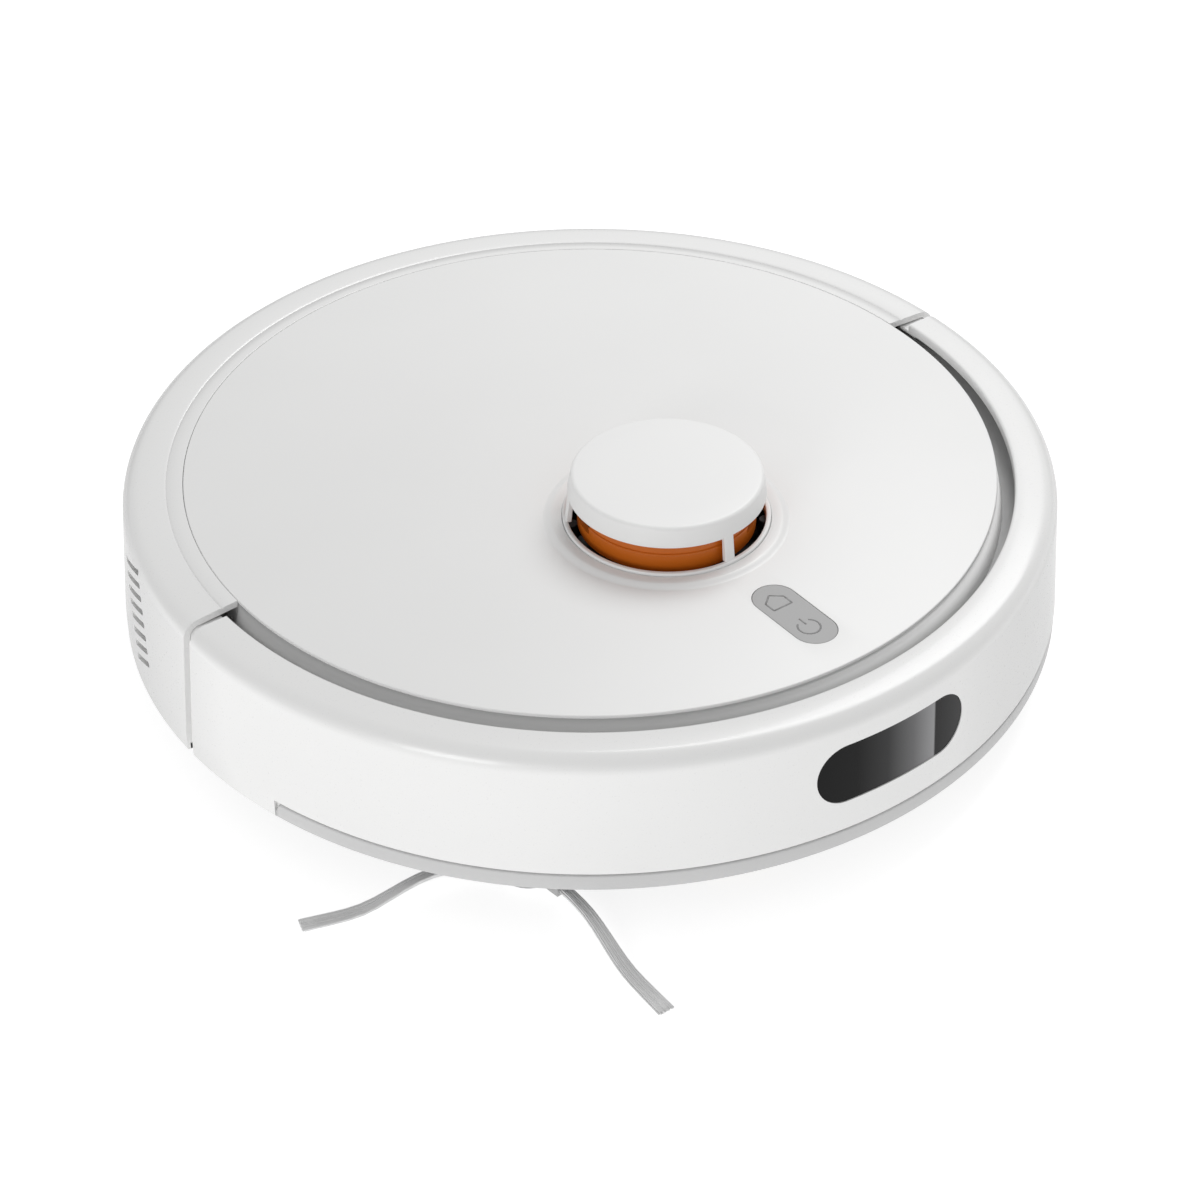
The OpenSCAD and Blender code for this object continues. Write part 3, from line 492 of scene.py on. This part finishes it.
def window_piece():
    """Glossy pane that follows the bumper's curve."""
    z0, z1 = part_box("sensor_window")[0].z - 2 * MM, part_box("sensor_window")[1].z + 2 * MM
    steps = 24
    heights = [z0 + (z1 - z0) * i / steps for i in range(steps + 1)]
    front = [(wall_radius(z, RIM_TOP) - 0.35 * MM, z) for z in heights]
    back = [(r - 2.2 * MM, z) for r, z in reversed(front)]
    pane = lathe("sensor_window_look", front + back, FRONT - 15, FRONT + 15, 90)
    tool = window_prism("pane_edge", -0.15 * MM)
    mod = pane.modifiers.new("shape", "BOOLEAN")
    mod.operation = "INTERSECT"
    mod.solver = "EXACT"
    mod.object = tool
    bake(pane)
    bpy.data.objects.remove(tool)
    tidy(pane)
    round_edges(pane, 0.4 * MM)
    return place(pane, "bumper", WINDOW, NODE_SLOT["sensor_window"], "sensor_window")


def strip_piece():
    """Soft strip in the bumper's recess, with rounded upper corners at its ends."""
    half, steps, corner = STRIP_HALF - 0.15, 360, 3.2 * MM
    verts, faces, n = [], [], 0
    for i in range(steps + 1):
        a = FRONT - half + 2 * half * i / steps
        from_end = math.radians(half - abs(a - FRONT)) * BODY_R
        drop = corner - math.sqrt(max(0.0, corner ** 2 - max(0.0, corner - from_end) ** 2))
        top, face = STRIP_TOP - drop, BODY_R - 0.05 * MM
        r = 0.7 * MM
        section = [(BODY_R - 1.35 * MM, SKIRT_Z + 0.1 * MM)]
        section += arc(face - r, SKIRT_Z + 0.1 * MM + r, r, -90, 0, 4)
        section += arc(face - r, top - r, r, 0, 90, 4)
        section += [(BODY_R - 1.35 * MM, top)]
        n = len(section)
        t = math.radians(a)
        verts += [(p * math.cos(t), p * math.sin(t), z) for p, z in section]
    for i in range(steps):
        for k in range(n):
            m = (k + 1) % n
            faces.append((i * n + k, (i + 1) * n + k, (i + 1) * n + m, i * n + m))
    faces.append(tuple(range(n)))
    faces.append(tuple(steps * n + k for k in range(n))[::-1])
    strip = from_faces("bumper_strip_look", verts, faces)
    return place(strip, "bumper", STRIP_GREY, NODE_SLOT["bumper_strip"], "bumper_strip")


def rear_piece():
    """White rear shell with the bin's opening and the exhaust slits, a ledge inside its lower edge and a pale
    screen behind the slits.
    """
    lip = PLATE_R + 0.15 * MM
    outline = shell_outline(SHELL_TOP, lip, slope=RIM_SLOPE, lip_r=0.25 * MM, crease=PLATE_R + GROOVE)
    shell = lathe("rear_shell_look", outline, *REAR_ARC, SHELL_STEPS)
    keep_side(shell, SEAM_BACK, back=True)
    open_half = BIN_HALF + 0.8 * MM
    opening = box_mesh("opening", (-open_half, 0.05, 0), (open_half, 0.3, FACE_TOP + 0.6 * MM))
    slits = []
    for i in range(8):
        length = (25 - 1.2 * i) * MM
        turn = Matrix.Rotation(math.radians(161 + i * 0.7), 4, "Z")
        lift = Matrix.Translation((0.15, 0, (64.5 - i * 4.5) * MM))
        tilt = Matrix.Rotation(math.radians(22), 4, "X")
        outline = stadium(length, 2.2 * MM, 10)
        upright = Matrix(((0, 0, 1, 0), (1, 0, 0, 0), (0, 1, 0, 0), (0, 0, 0, 1)))
        slits.append(prism("slit", outline, 0.0, 0.03, turn @ lift @ tilt @ upright))
    cut(shell, opening, *slits)
    round_edges(shell, 0.35 * MM)
    inner, outer, ledge_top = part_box("chassis")[1].x, BODY_R - 1.3 * MM, SKIRT_Z + 2.5 * MM
    ledge = lathe("ledge", [(inner, SKIRT_Z), (outer, SKIRT_Z), (outer, ledge_top), (inner, ledge_top)],
                  *REAR_ARC, SHELL_STEPS)
    keep_side(ledge, SEAM_BACK, back=True)
    cut(ledge, box_mesh("opening", (-open_half, 0.05, 0), (open_half, 0.3, 0.05)))
    place(ledge, "body", WHITE, "white_shell", "rear_shell")
    mesh_r = BODY_R - 3.3 * MM
    low, high, thick = 24 * MM, 67 * MM, 1 * MM
    section = [(mesh_r - thick, low), (mesh_r, low), (mesh_r - TAPER, high), (mesh_r - TAPER - thick, high)]
    screen = lathe("exhaust_screen", section, 152, 172, 40)
    place(screen, "body", FRAME_WHITE, "white_shell")
    return place(shell, "body", WHITE, "white_shell", "rear_shell")


def seam_backing():
    """Thin tongues on the rear shell that close the seams beside the bumper's ends."""
    outline = shell_outline(RIM_TOP, PLATE_R + 0.3 * MM + GROOVE, inset=WALL + 0.25 * MM, thick=1.2 * MM)
    parts = [lathe("tongue", outline, start, start + 3.6, 8) for start in (-1.8, 178.2)]
    return place(join("seam_tongues", parts), "body", FRAME_WHITE, "white_shell")


def groove_ledge():
    """Pale ledge that slopes from the plate's edge down into the groove in front of it."""
    r = PLATE_R + 0.02 * MM
    foot = r + 2.6 * MM
    section = [(r, FRAME_TOP), (foot, FRAME_TOP), (foot, FRAME_TOP + 0.6 * MM), (r, SHELL_TOP - 1.1 * MM)]
    ledge = lathe("groove_ledge", section, *FRONT_ARC, SHELL_STEPS)
    keep_side(ledge, SEAM_BACK, back=False)
    return place(ledge, "body", FRAME_WHITE, NODE_SLOT["top_plate"])


def plate_piece():
    """Flat round lid with a moulded edge, a deep skirt and a soft collar round the turret."""
    top, r = SHELL_TOP, PLATE_R
    skirt_in, skirt_z = r - 2.7 * MM, FRAME_TOP
    edge = 0.45 * MM
    outline = [(AXIS / 2, top - 2.6 * MM), (skirt_in, top - 2.6 * MM), (skirt_in, skirt_z), (r, skirt_z)]
    outline += arc(r - edge, top - edge, edge, 0, 90, 5) + [(AXIS / 2, top)]
    plate = lathe("top_plate_look", outline, steps=360)
    hole_r, low, high = RING_R + 0.2 * MM, 0.06, 0.1
    hole = lathe("hole", [(AXIS, low), (hole_r, low), (hole_r, high), (AXIS, high)], steps=180,
                 centre=(TURRET.x, TURRET.y))
    size = span("button_pad")[1]
    pad_hole = prism("pad_hole", stadium(2 * size.y + 0.3 * MM, 2 * size.x + 0.3 * MM, 28), low, high,
                     Matrix.Translation((0, PAD.y, 0)) @ Matrix.Rotation(math.radians(90), 4, "Z"))
    cut(plate, hole, pad_hole)
    round_edges(plate, 0.3 * MM)
    collar_in, collar_out, rise = RING_R + 0.12 * MM, 44.6 * MM, 1.15 * MM
    ring = [(collar_in, top - 2.4 * MM), (collar_out, top - 1 * MM), (collar_out, top - 0.02 * MM)]
    steps = 10
    for i in range(1, steps + 1):
        share = i / steps
        blend = share * share * (3 - 2 * share)
        ring.append((collar_out - 3.4 * MM * share, top - 0.02 * MM + rise * blend))
    ring += arc(collar_in + 0.5 * MM, top + rise - 0.52 * MM, 0.5 * MM, 90, 180, 4)
    collar = lathe("collar", ring, steps=200, centre=(TURRET.x, TURRET.y))
    place(collar, "body", PLATE_WHITE, NODE_SLOT["top_plate"], "top_plate")
    return place(plate, "body", PLATE_WHITE, NODE_SLOT["top_plate"], "top_plate")


# ---------------------------------------------------------------- laser turret
def turret_pieces():
    """White cap, the low ring under it and the three slim posts between them."""
    centre = (TURRET.x, TURRET.y)
    r, top, rim = CAP_R, CAP_TOP, CAP_RIM
    cap = [(AXIS, top - 3.4 * MM), (r - 7 * MM, top - 3.4 * MM), (r - 3.2 * MM, rim + 2.5 * MM)]
    cap += [(r - 2.9 * MM, rim + 0.4 * MM)]
    cap += arc(r - 2.6 * MM, rim + 0.35 * MM, 0.35 * MM, 180, 270, 3)
    cap += arc(r - 0.5 * MM, rim + 0.5 * MM, 0.5 * MM, -90, 0, 3)
    cap += arc(r - 2.7 * MM, top - 1.6 * MM, 1.6 * MM, 6, 90, 8)
    cap += [(r - 12 * MM, top), (AXIS, top)]
    slot = NODE_SLOT["lds_cover"]
    place(lathe("turret_cap", cap, steps=200, centre=centre), "body", TURRET_WHITE, slot, "lds_cover")
    low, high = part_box("lds_cover")[0].z, 77 * MM
    soft = 0.5 * MM
    base = [(RING_R - 1.8 * MM, low), (RING_R, low)]
    base += arc(RING_R - soft, high - soft, soft, 0, 90, 5)
    base += arc(RING_R - 1.8 * MM + soft, high - soft, soft, 90, 180, 3)
    place(lathe("turret_base_ring", base, steps=200, centre=centre), "body", TURRET_WHITE, slot, "lds_cover")
    posts = []
    for a in (-90, 30, 150):
        section = [(34.6 * MM, high - 0.5 * MM), (36.8 * MM, high - 0.5 * MM), (r - 0.3 * MM, rim + 0.5 * MM),
                   (33.6 * MM, rim + 0.5 * MM)]
        posts.append(lathe("post", section, a - 3.3, a + 3.3, 6, centre))
    posts = join("turret_posts", posts)
    round_edges(posts, 0.4 * MM)
    place(posts, "body", TURRET_WHITE, slot, "lds_cover")


def rotor_piece():
    """Turning drum with a rib round it and the two windows of the laser and its camera."""
    centre = (TURRET.x, TURRET.y)
    z0, z1 = 73.6 * MM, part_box("lds_rotor")[1].z
    rib = 81.2 * MM
    outline = [(30.2 * MM, z0 + 1.4 * MM), (31.9 * MM, z0), (32.3 * MM, z0 + 0.4 * MM)]
    outline += [(32.3 * MM, rib - 0.5 * MM)]
    outline += [(32.5 * MM, rib - 0.3 * MM), (32.5 * MM, rib + 0.3 * MM), (32.0 * MM, rib + 0.5 * MM)]
    outline += [(32.0 * MM, z1 - 0.4 * MM), (31.6 * MM, z1), (30.2 * MM, z1)]
    drum = lathe("rotor_drum", outline, steps=200, centre=centre)
    for side in (-1, 1):
        spin = Matrix.Rotation(math.radians(-126 + side * 73), 4, "Z")
        turn = Matrix.Translation((TURRET.x, TURRET.y, 0)) @ spin
        window = box_mesh("window", (0.02, -7 * MM, 78.5 * MM), (0.04, 7 * MM, 84.5 * MM))
        window.data.transform(turn)
        cut(drum, window)
    round_edges(drum, 0.25 * MM)
    place(drum, "turret_rotor", ORANGE, NODE_SLOT["lds_rotor"], "lds_rotor")
    floor = [(AXIS, 73.7 * MM), (31.5 * MM, 73.7 * MM), (31.5 * MM, 76.6 * MM), (AXIS, 76.6 * MM)]
    neck = [(AXIS, 54 * MM), (8 * MM, 54 * MM), (8 * MM, 60 * MM), (20 * MM, 60 * MM)]
    neck += [(20 * MM, 61.2 * MM), (19.2 * MM, 61.5 * MM), (19.2 * MM, 64.2 * MM), (20 * MM, 64.5 * MM)]
    neck += [(20 * MM, 65 * MM), (14 * MM, 65 * MM), (14 * MM, 74.7 * MM), (AXIS, 74.7 * MM)]
    inner = [lathe("inner", section, steps=160, centre=centre) for section in (floor, neck)]
    inner = join("rotor_floor", inner)
    round_edges(inner, 0.25 * MM)
    place(inner, "turret_rotor", PART_GREY, NODE_SLOT["lds_rotor"], "lds_rotor")


# ---------------------------------------------------------------- buttons
def button_pieces():
    """Grey rocking pad with its stems and pin, and two shallow symbols."""
    size = span("button_pad")[1]
    quarter = Matrix.Rotation(math.radians(90), 4, "Z")
    pad = prism("button_pad_look", stadium(2 * size.y, 2 * size.x, 28), SHELL_TOP - 1.6 * MM, SHELL_TOP,
                Matrix.Translation((0, PAD.y, 0)) @ quarter)
    round_edges(pad, 0.35 * MM, 3)
    place(pad, "button", BUTTON_GREY, NODE_SLOT["button_pad"], "button_pad")
    stems = []
    section = [(AXIS, 71.2 * MM), (2 * MM, 71.2 * MM), (2 * MM, 73.5 * MM), (AXIS, 73.5 * MM)]
    for s in (-1, 1):
        stems.append(lathe("stem", section, steps=32, centre=(0, PAD.y + s * 8.6 * MM)))
    line = [Vector((x * MM, PAD.y, 72.6 * MM)) for x in (-7, 0, 7)]
    stems.append(tube("pin", line, 0.9 * MM, 20))
    place(join("pad_stems", stems), "button", PART_GREY, NODE_SLOT["button_pad"], "button_pad")
    z = SHELL_TOP + 0.02 * MM
    house = [(-4, -3.4), (4, -3.4), (4, 1.2), (0, 4.4), (-4, 1.2), (-4, -3.4)]
    ring = [(4 * math.cos(t), 4 * math.sin(t)) for t in [math.radians(125 + 290 * i / 24) for i in range(25)]]
    tick = [(0, 1.6), (0, 5.4)]
    marks = []
    for y, lines in ((PAD.y + 8.9 * MM, [house]), (PAD.y - 8.5 * MM, [ring, tick])):
        for path in lines:
            points = [Vector(((x - 0.6) * MM, y + v * MM, z)) for x, v in path]
            for a, b in zip(points, points[1:]):
                marks.append(tube("mark", [a, (a + b) / 2, b], 0.33 * MM, 6))
    icons = join("button_icons", marks)
    icons.data.transform(Matrix.Translation((0, 0, z)) @ Matrix.Diagonal((1, 1, 0.16, 1)) @
                         Matrix.Translation((0, 0, -z)))
    place(icons, "button", ICON_GREY, NODE_SLOT["button_pad"])


# ---------------------------------------------------------------- side brush
HUB = Vector((-104 * MM, -104 * MM, 0))      # foot of the side brush's axis


def side_tufts():
    """Three fans of filaments that lean down from the hub and then sweep along the floor."""
    parts = []
    root, reach = 17 * MM, 81.6 * MM
    for arm, bend, late in ((149, 13, 2), (276, -8, 1), (35, 3, 1)):
        for i in range(150):
            u, v = rng.uniform(-1, 1), rng.uniform(-1, 1)
            length = reach - 1.2 * MM * rng.random()
            line = []
            for k in range(13):
                t = k / 12
                r = root + (length - root) * t
                turn = math.radians(arm + bend * math.sin(min(1.0, t / 0.8) * math.pi / 2) ** late)
                out = Vector((math.cos(turn), math.sin(turn), 0))
                side = Vector((-math.sin(turn), math.cos(turn), 0))
                slope = 1 - max(0.0, min(1.0, (t - 0.18) / 0.5))
                height = 5.1 * slope * slope * (3 - 2 * slope) + 1.1 + 0.8 * v * (1 - 0.6 * t)
                lift = Vector((0, 0, max(0.45, height) * MM))
                line.append(HUB + out * r + side * u * (1.7 + 1.4 * t) * MM + lift)
            parts.append(tube("hair", line, 0.24 * MM, 5, lambda s: 1.0 - 0.3 * s))
    tufts = join("side_brush_tufts", parts)
    place(tufts, "side_brush", TUFT_GREY, NODE_SLOT["side_brush_bristles"], "side_brush_bristles")


# ---------------------------------------------------------------- main brush
def brush_rows():
    """Rows of bristle tufts and rubber strips that wind round the core, with gaps at the cover's bars."""
    axis = span("main_brush_core")[0]
    y0, z0 = 32 * MM, axis.z
    half, core, tip = 78 * MM, 8.8 * MM, 19.4 * MM
    near_tip = tip - 0.4 * MM
    hairs, strips = [], []

    def at(x, turn, r):
        return Vector((x, y0 + r * math.cos(turn), z0 + r * math.sin(turn)))

    def blocked(x):
        return any(abs(x - bar * MM) < 3.6 * MM for bar in (-40, 0, 40))

    for row in range(6):
        base = math.radians(row * 60)
        if row % 2 == 0:
            x = -half
            while x <= half:
                if not blocked(x):
                    for k in range(4):
                        wob = rng.uniform(-0.05, 0.05)
                        turn = base + 0.45 * abs(x) / half
                        shift = rng.uniform(-0.7, 0.7) * MM
                        line = [at(x + shift * s, turn + wob * s, core + (tip - core) * s)
                                for s in (0, 0.35, 0.7, 1)]
                        hairs.append(tube("hair", line, 0.3 * MM, 4, lambda s: 1.0 - 0.4 * s))
                x += 1.5 * MM
        else:
            for x_from, x_to in ((-78, -43.6), (-36.4, -3.6), (3.6, 36.4), (43.6, 78)):
                verts, faces, steps = [], [], 14
                for i in range(steps + 1):
                    x = (x_from + (x_to - x_from) * i / steps) * MM
                    turn = base + 0.45 * abs(x) / half
                    for r, w in ((core, -0.9), (near_tip, -0.55), (tip, 0.0), (near_tip, 0.55), (core, 0.9)):
                        verts.append(at(x, turn + w * MM / r, r))
                for i in range(steps):
                    for k in range(5):
                        m = (k + 1) % 5
                        faces.append((i * 5 + k, i * 5 + m, i * 5 + 5 + m, i * 5 + 5 + k))
                faces.append((4, 3, 2, 1, 0))
                faces.append(tuple(steps * 5 + k for k in range(5)))
                strips.append(from_faces("vane", verts, faces))
    slot = NODE_SLOT["main_brush_bristles"]
    place(join("main_brush_hairs", hairs), "main_brush", TUFT_ORANGE, slot, "main_brush_bristles")
    place(join("main_brush_vanes", strips), "main_brush", RUBBER, slot, "main_brush_bristles")


# ---------------------------------------------------------------- mop
def mop_outline(inset, steps=96):
    """Outline of the mop: straight front edge, round behind, with soft corners."""
    half, front, r = 105 * MM - inset, 66 * MM + inset, 158 * MM - inset
    corner = 6 * MM
    reach = math.sqrt(r * r - half * half)
    pts = [(half - corner + corner * math.sin(t), front + corner - corner * math.cos(t))
           for t in [math.radians(9 * i) for i in range(11)]]
    start, end = math.atan2(reach, half), math.pi - math.atan2(reach, half)
    pts += [(r * math.cos(start + (end - start) * i / steps), r * math.sin(start + (end - start) * i / steps))
            for i in range(steps + 1)]
    pts += [(-half + corner - corner * math.cos(t), front + corner - corner * math.sin(t))
            for t in [math.radians(9 * i) for i in range(11)]]
    return pts


def mop_cloth():
    """Terry pad with rounded edges and a hem that is stitched round it."""
    low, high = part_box("mop_pad")
    thick = high.z - low.z
    hem = ((9.0, 0.0), (7.6, 0.0), (7.0, 0.18), (6.4, 0.0))
    edge = ((2.9, 0.0), (2.15, 0.25), (2.0, 0.55), (2.1, 0.85), (2.9, 1.0), (7.0, 1.0))
    rings = [(inset * MM, low.z + thick * share) for inset, share in hem + edge]
    verts, faces, n = [], [], len(mop_outline(2 * MM))
    for inset, z in rings:
        verts += [(x, y, z) for x, y in mop_outline(inset)]
    for i in range(len(rings) - 1):
        for k in range(n):
            m = (k + 1) % n
            faces.append((i * n + k, i * n + m, i * n + n + m, i * n + n + k))
    faces.append(tuple(range(n))[::-1])
    faces.append(tuple((len(rings) - 1) * n + k for k in range(n)))
    cloth = from_faces("mop_cloth", verts, faces)
    place(cloth, "mop", CLOTH, NODE_SLOT["mop_pad"], "mop_pad")


# ---------------------------------------------------------------- springs and screws
def coil(name, start, along, radius, length, turns, wire):
    """A wound spring whose axis runs from start along a unit vector."""
    side = along.cross(Vector((0, 0, 1)))
    side = side.normalized() if side.length > 0.01 else Vector((1, 0, 0))
    up = along.cross(side)
    steps = turns * 16
    line = []
    for i in range(steps + 1):
        t = 2 * math.pi * turns * i / steps
        middle = start + along * length * i / steps
        line.append(middle + side * radius * math.cos(t) + up * radius * math.sin(t))
    return tube(name, line, wire, 8)


def springs():
    """Coil springs between the chassis and the bumper."""
    inner = 164.3 * MM
    for i, a in enumerate((-125, -90, -55)):
        t = math.radians(a)
        along = Vector((math.cos(t), math.sin(t), 0))
        start = Vector((0, 0, 33 * MM)) + along * inner
        piece = coil(f"bumper_spring_{i}", start, along, 2.6 * MM, 4.4 * MM, 4, 0.35 * MM)
        place(piece, "body", STEEL, NODE_SLOT["bumper_springs"], "bumper_springs")
        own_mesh(piece)


def screws():
    """Pan-head screws with a cross recess, on the floor pan."""
    heads = []
    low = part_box("chassis_screws")[0].z
    for x, y in ((75, -118), (-68, -100), (136, 10), (-136, 10), (60, -10), (-60, -10)):
        z = low + 0.4 * MM
        outline = [(AXIS, z), (3 * MM, z), (2.9 * MM, z - 0.18 * MM), (2.3 * MM, z - 0.34 * MM),
                   (AXIS, z - 0.4 * MM)]
        head = lathe("head", outline, steps=40, centre=(x * MM, y * MM))
        for turn in (30, 120):
            place_bar = Matrix.Translation((x * MM, y * MM, z)) @ Matrix.Rotation(math.radians(turn), 4, "Z")
            bar = box_mesh("bar", (-1.5 * MM, -0.3 * MM, -1 * MM), (1.5 * MM, 0.3 * MM, -0.08 * MM))
            bar.data.transform(place_bar)
            cut(head, bar)
        heads.append(head)
    place(join("screw_heads", heads), "body", STEEL, NODE_SLOT["chassis_screws"], "chassis_screws")


# ---------------------------------------------------------------- build everything
bumper_piece()
window_piece()
strip_piece()
rear_piece()
seam_backing()
groove_ledge()
plate_piece()
turret_pieces()
rotor_piece()
button_pieces()
side_tufts()
brush_rows()
mop_cloth()
springs()
screws()

LOOKS = {
    HUB_GREY: ["side_brush_hub"],
    CHASSIS_BLACK: ["chassis", "lds_base", "blower_housing", "brush_housing", "side_gearbox", "caster_socket",
                    "caster_fork", "left_wheel_arm", "right_wheel_arm", "bumper_switches", "speaker",
                    "battery_cover"],
    PART_GREY: ["main_brush_core", "brush_cover", "mop_bracket", "left_wheel_hub", "right_wheel_hub",
                "bin_flap", "bin_latch", "caster_wheel"],
    FRAME_GREY: ["mid_frame"],
    RUBBER: ["left_tyre", "right_tyre", "lds_belt"],
    STEEL: ["lds_bearing", "lds_motor", "blower_motor", "brush_motor", "side_motor", "suspension_pins"],
    BRASS: ["brush_pinion", "side_pinion", "charging_contacts"],
    GEAR_WHITE: ["brush_gear", "brush_idler", "lds_motor_pulley", "fan_impeller", "filter_frame"],
    CIRCUIT: ["main_board", "button_board"],
    CELL_BLUE: ["battery_pack"],
    SMOKE: ["bin_lid", "dust_bin"],
    PAPER: ["filter_element"],
    LENS: ["lds_optics", "cliff_sensors"],
}
for look, nodes in LOOKS.items():
    for node in nodes:
        dress(node, look)


# ---------------------------------------------------------------- room, light and camera
def studio():
    """Pale self-lit floor, white world, a key light from the right and a soft fill from the left."""
    floor = box_mesh("floor", (-4, -4, -0.02), (4, 4, 0))
    paper = moulded("floor_white", (0.40, 0.40, 0.40), rough=0.8, vary=0.003, grain=40, bump=0.0)
    glow = paper.node_tree.nodes["Principled BSDF"]
    glow.inputs["Emission Color"].default_value = (1, 1, 1, 1)
    glow.inputs["Emission Strength"].default_value = 0.82
    paint(floor, paper)
    world = bpy.data.worlds.new("studio")
    bpy.context.scene.world = world
    world.use_nodes = True
    world.node_tree.nodes["Background"].inputs["Color"].default_value = (1, 1, 1, 1)
    world.node_tree.nodes["Background"].inputs["Strength"].default_value = 0.48
    lights = (("key", (0.60, 0.22, 0.90), 0.6, 5.9), ("fill", (-1.30, -0.60, 0.45), 0.5, 4.6))
    for name, spot, size, power in lights:
        light = bpy.data.lights.new(name, "AREA")
        light.size = size
        light.energy = power
        lamp = new_object(name, light)
        lamp.location = spot
        lamp.rotation_euler = (-Vector(spot)).to_track_quat("-Z", "Y").to_euler()


def camera():
    """Camera in front of and above the robot, to the left of its front."""
    view = bpy.data.cameras.new("photo_view")
    view.lens = 90.2
    view.clip_start = 0.05
    eye = new_object("photo_view", view)
    eye.location = (-0.54506, -0.73435, 0.70888)
    eye.rotation_euler = Vector((0.47573, 0.63568, -0.60794)).to_track_quat("-Z", "Y").to_euler()
    bpy.context.scene.camera = eye


studio()
camera()
bpy.context.scene.view_settings.view_transform = "Standard"
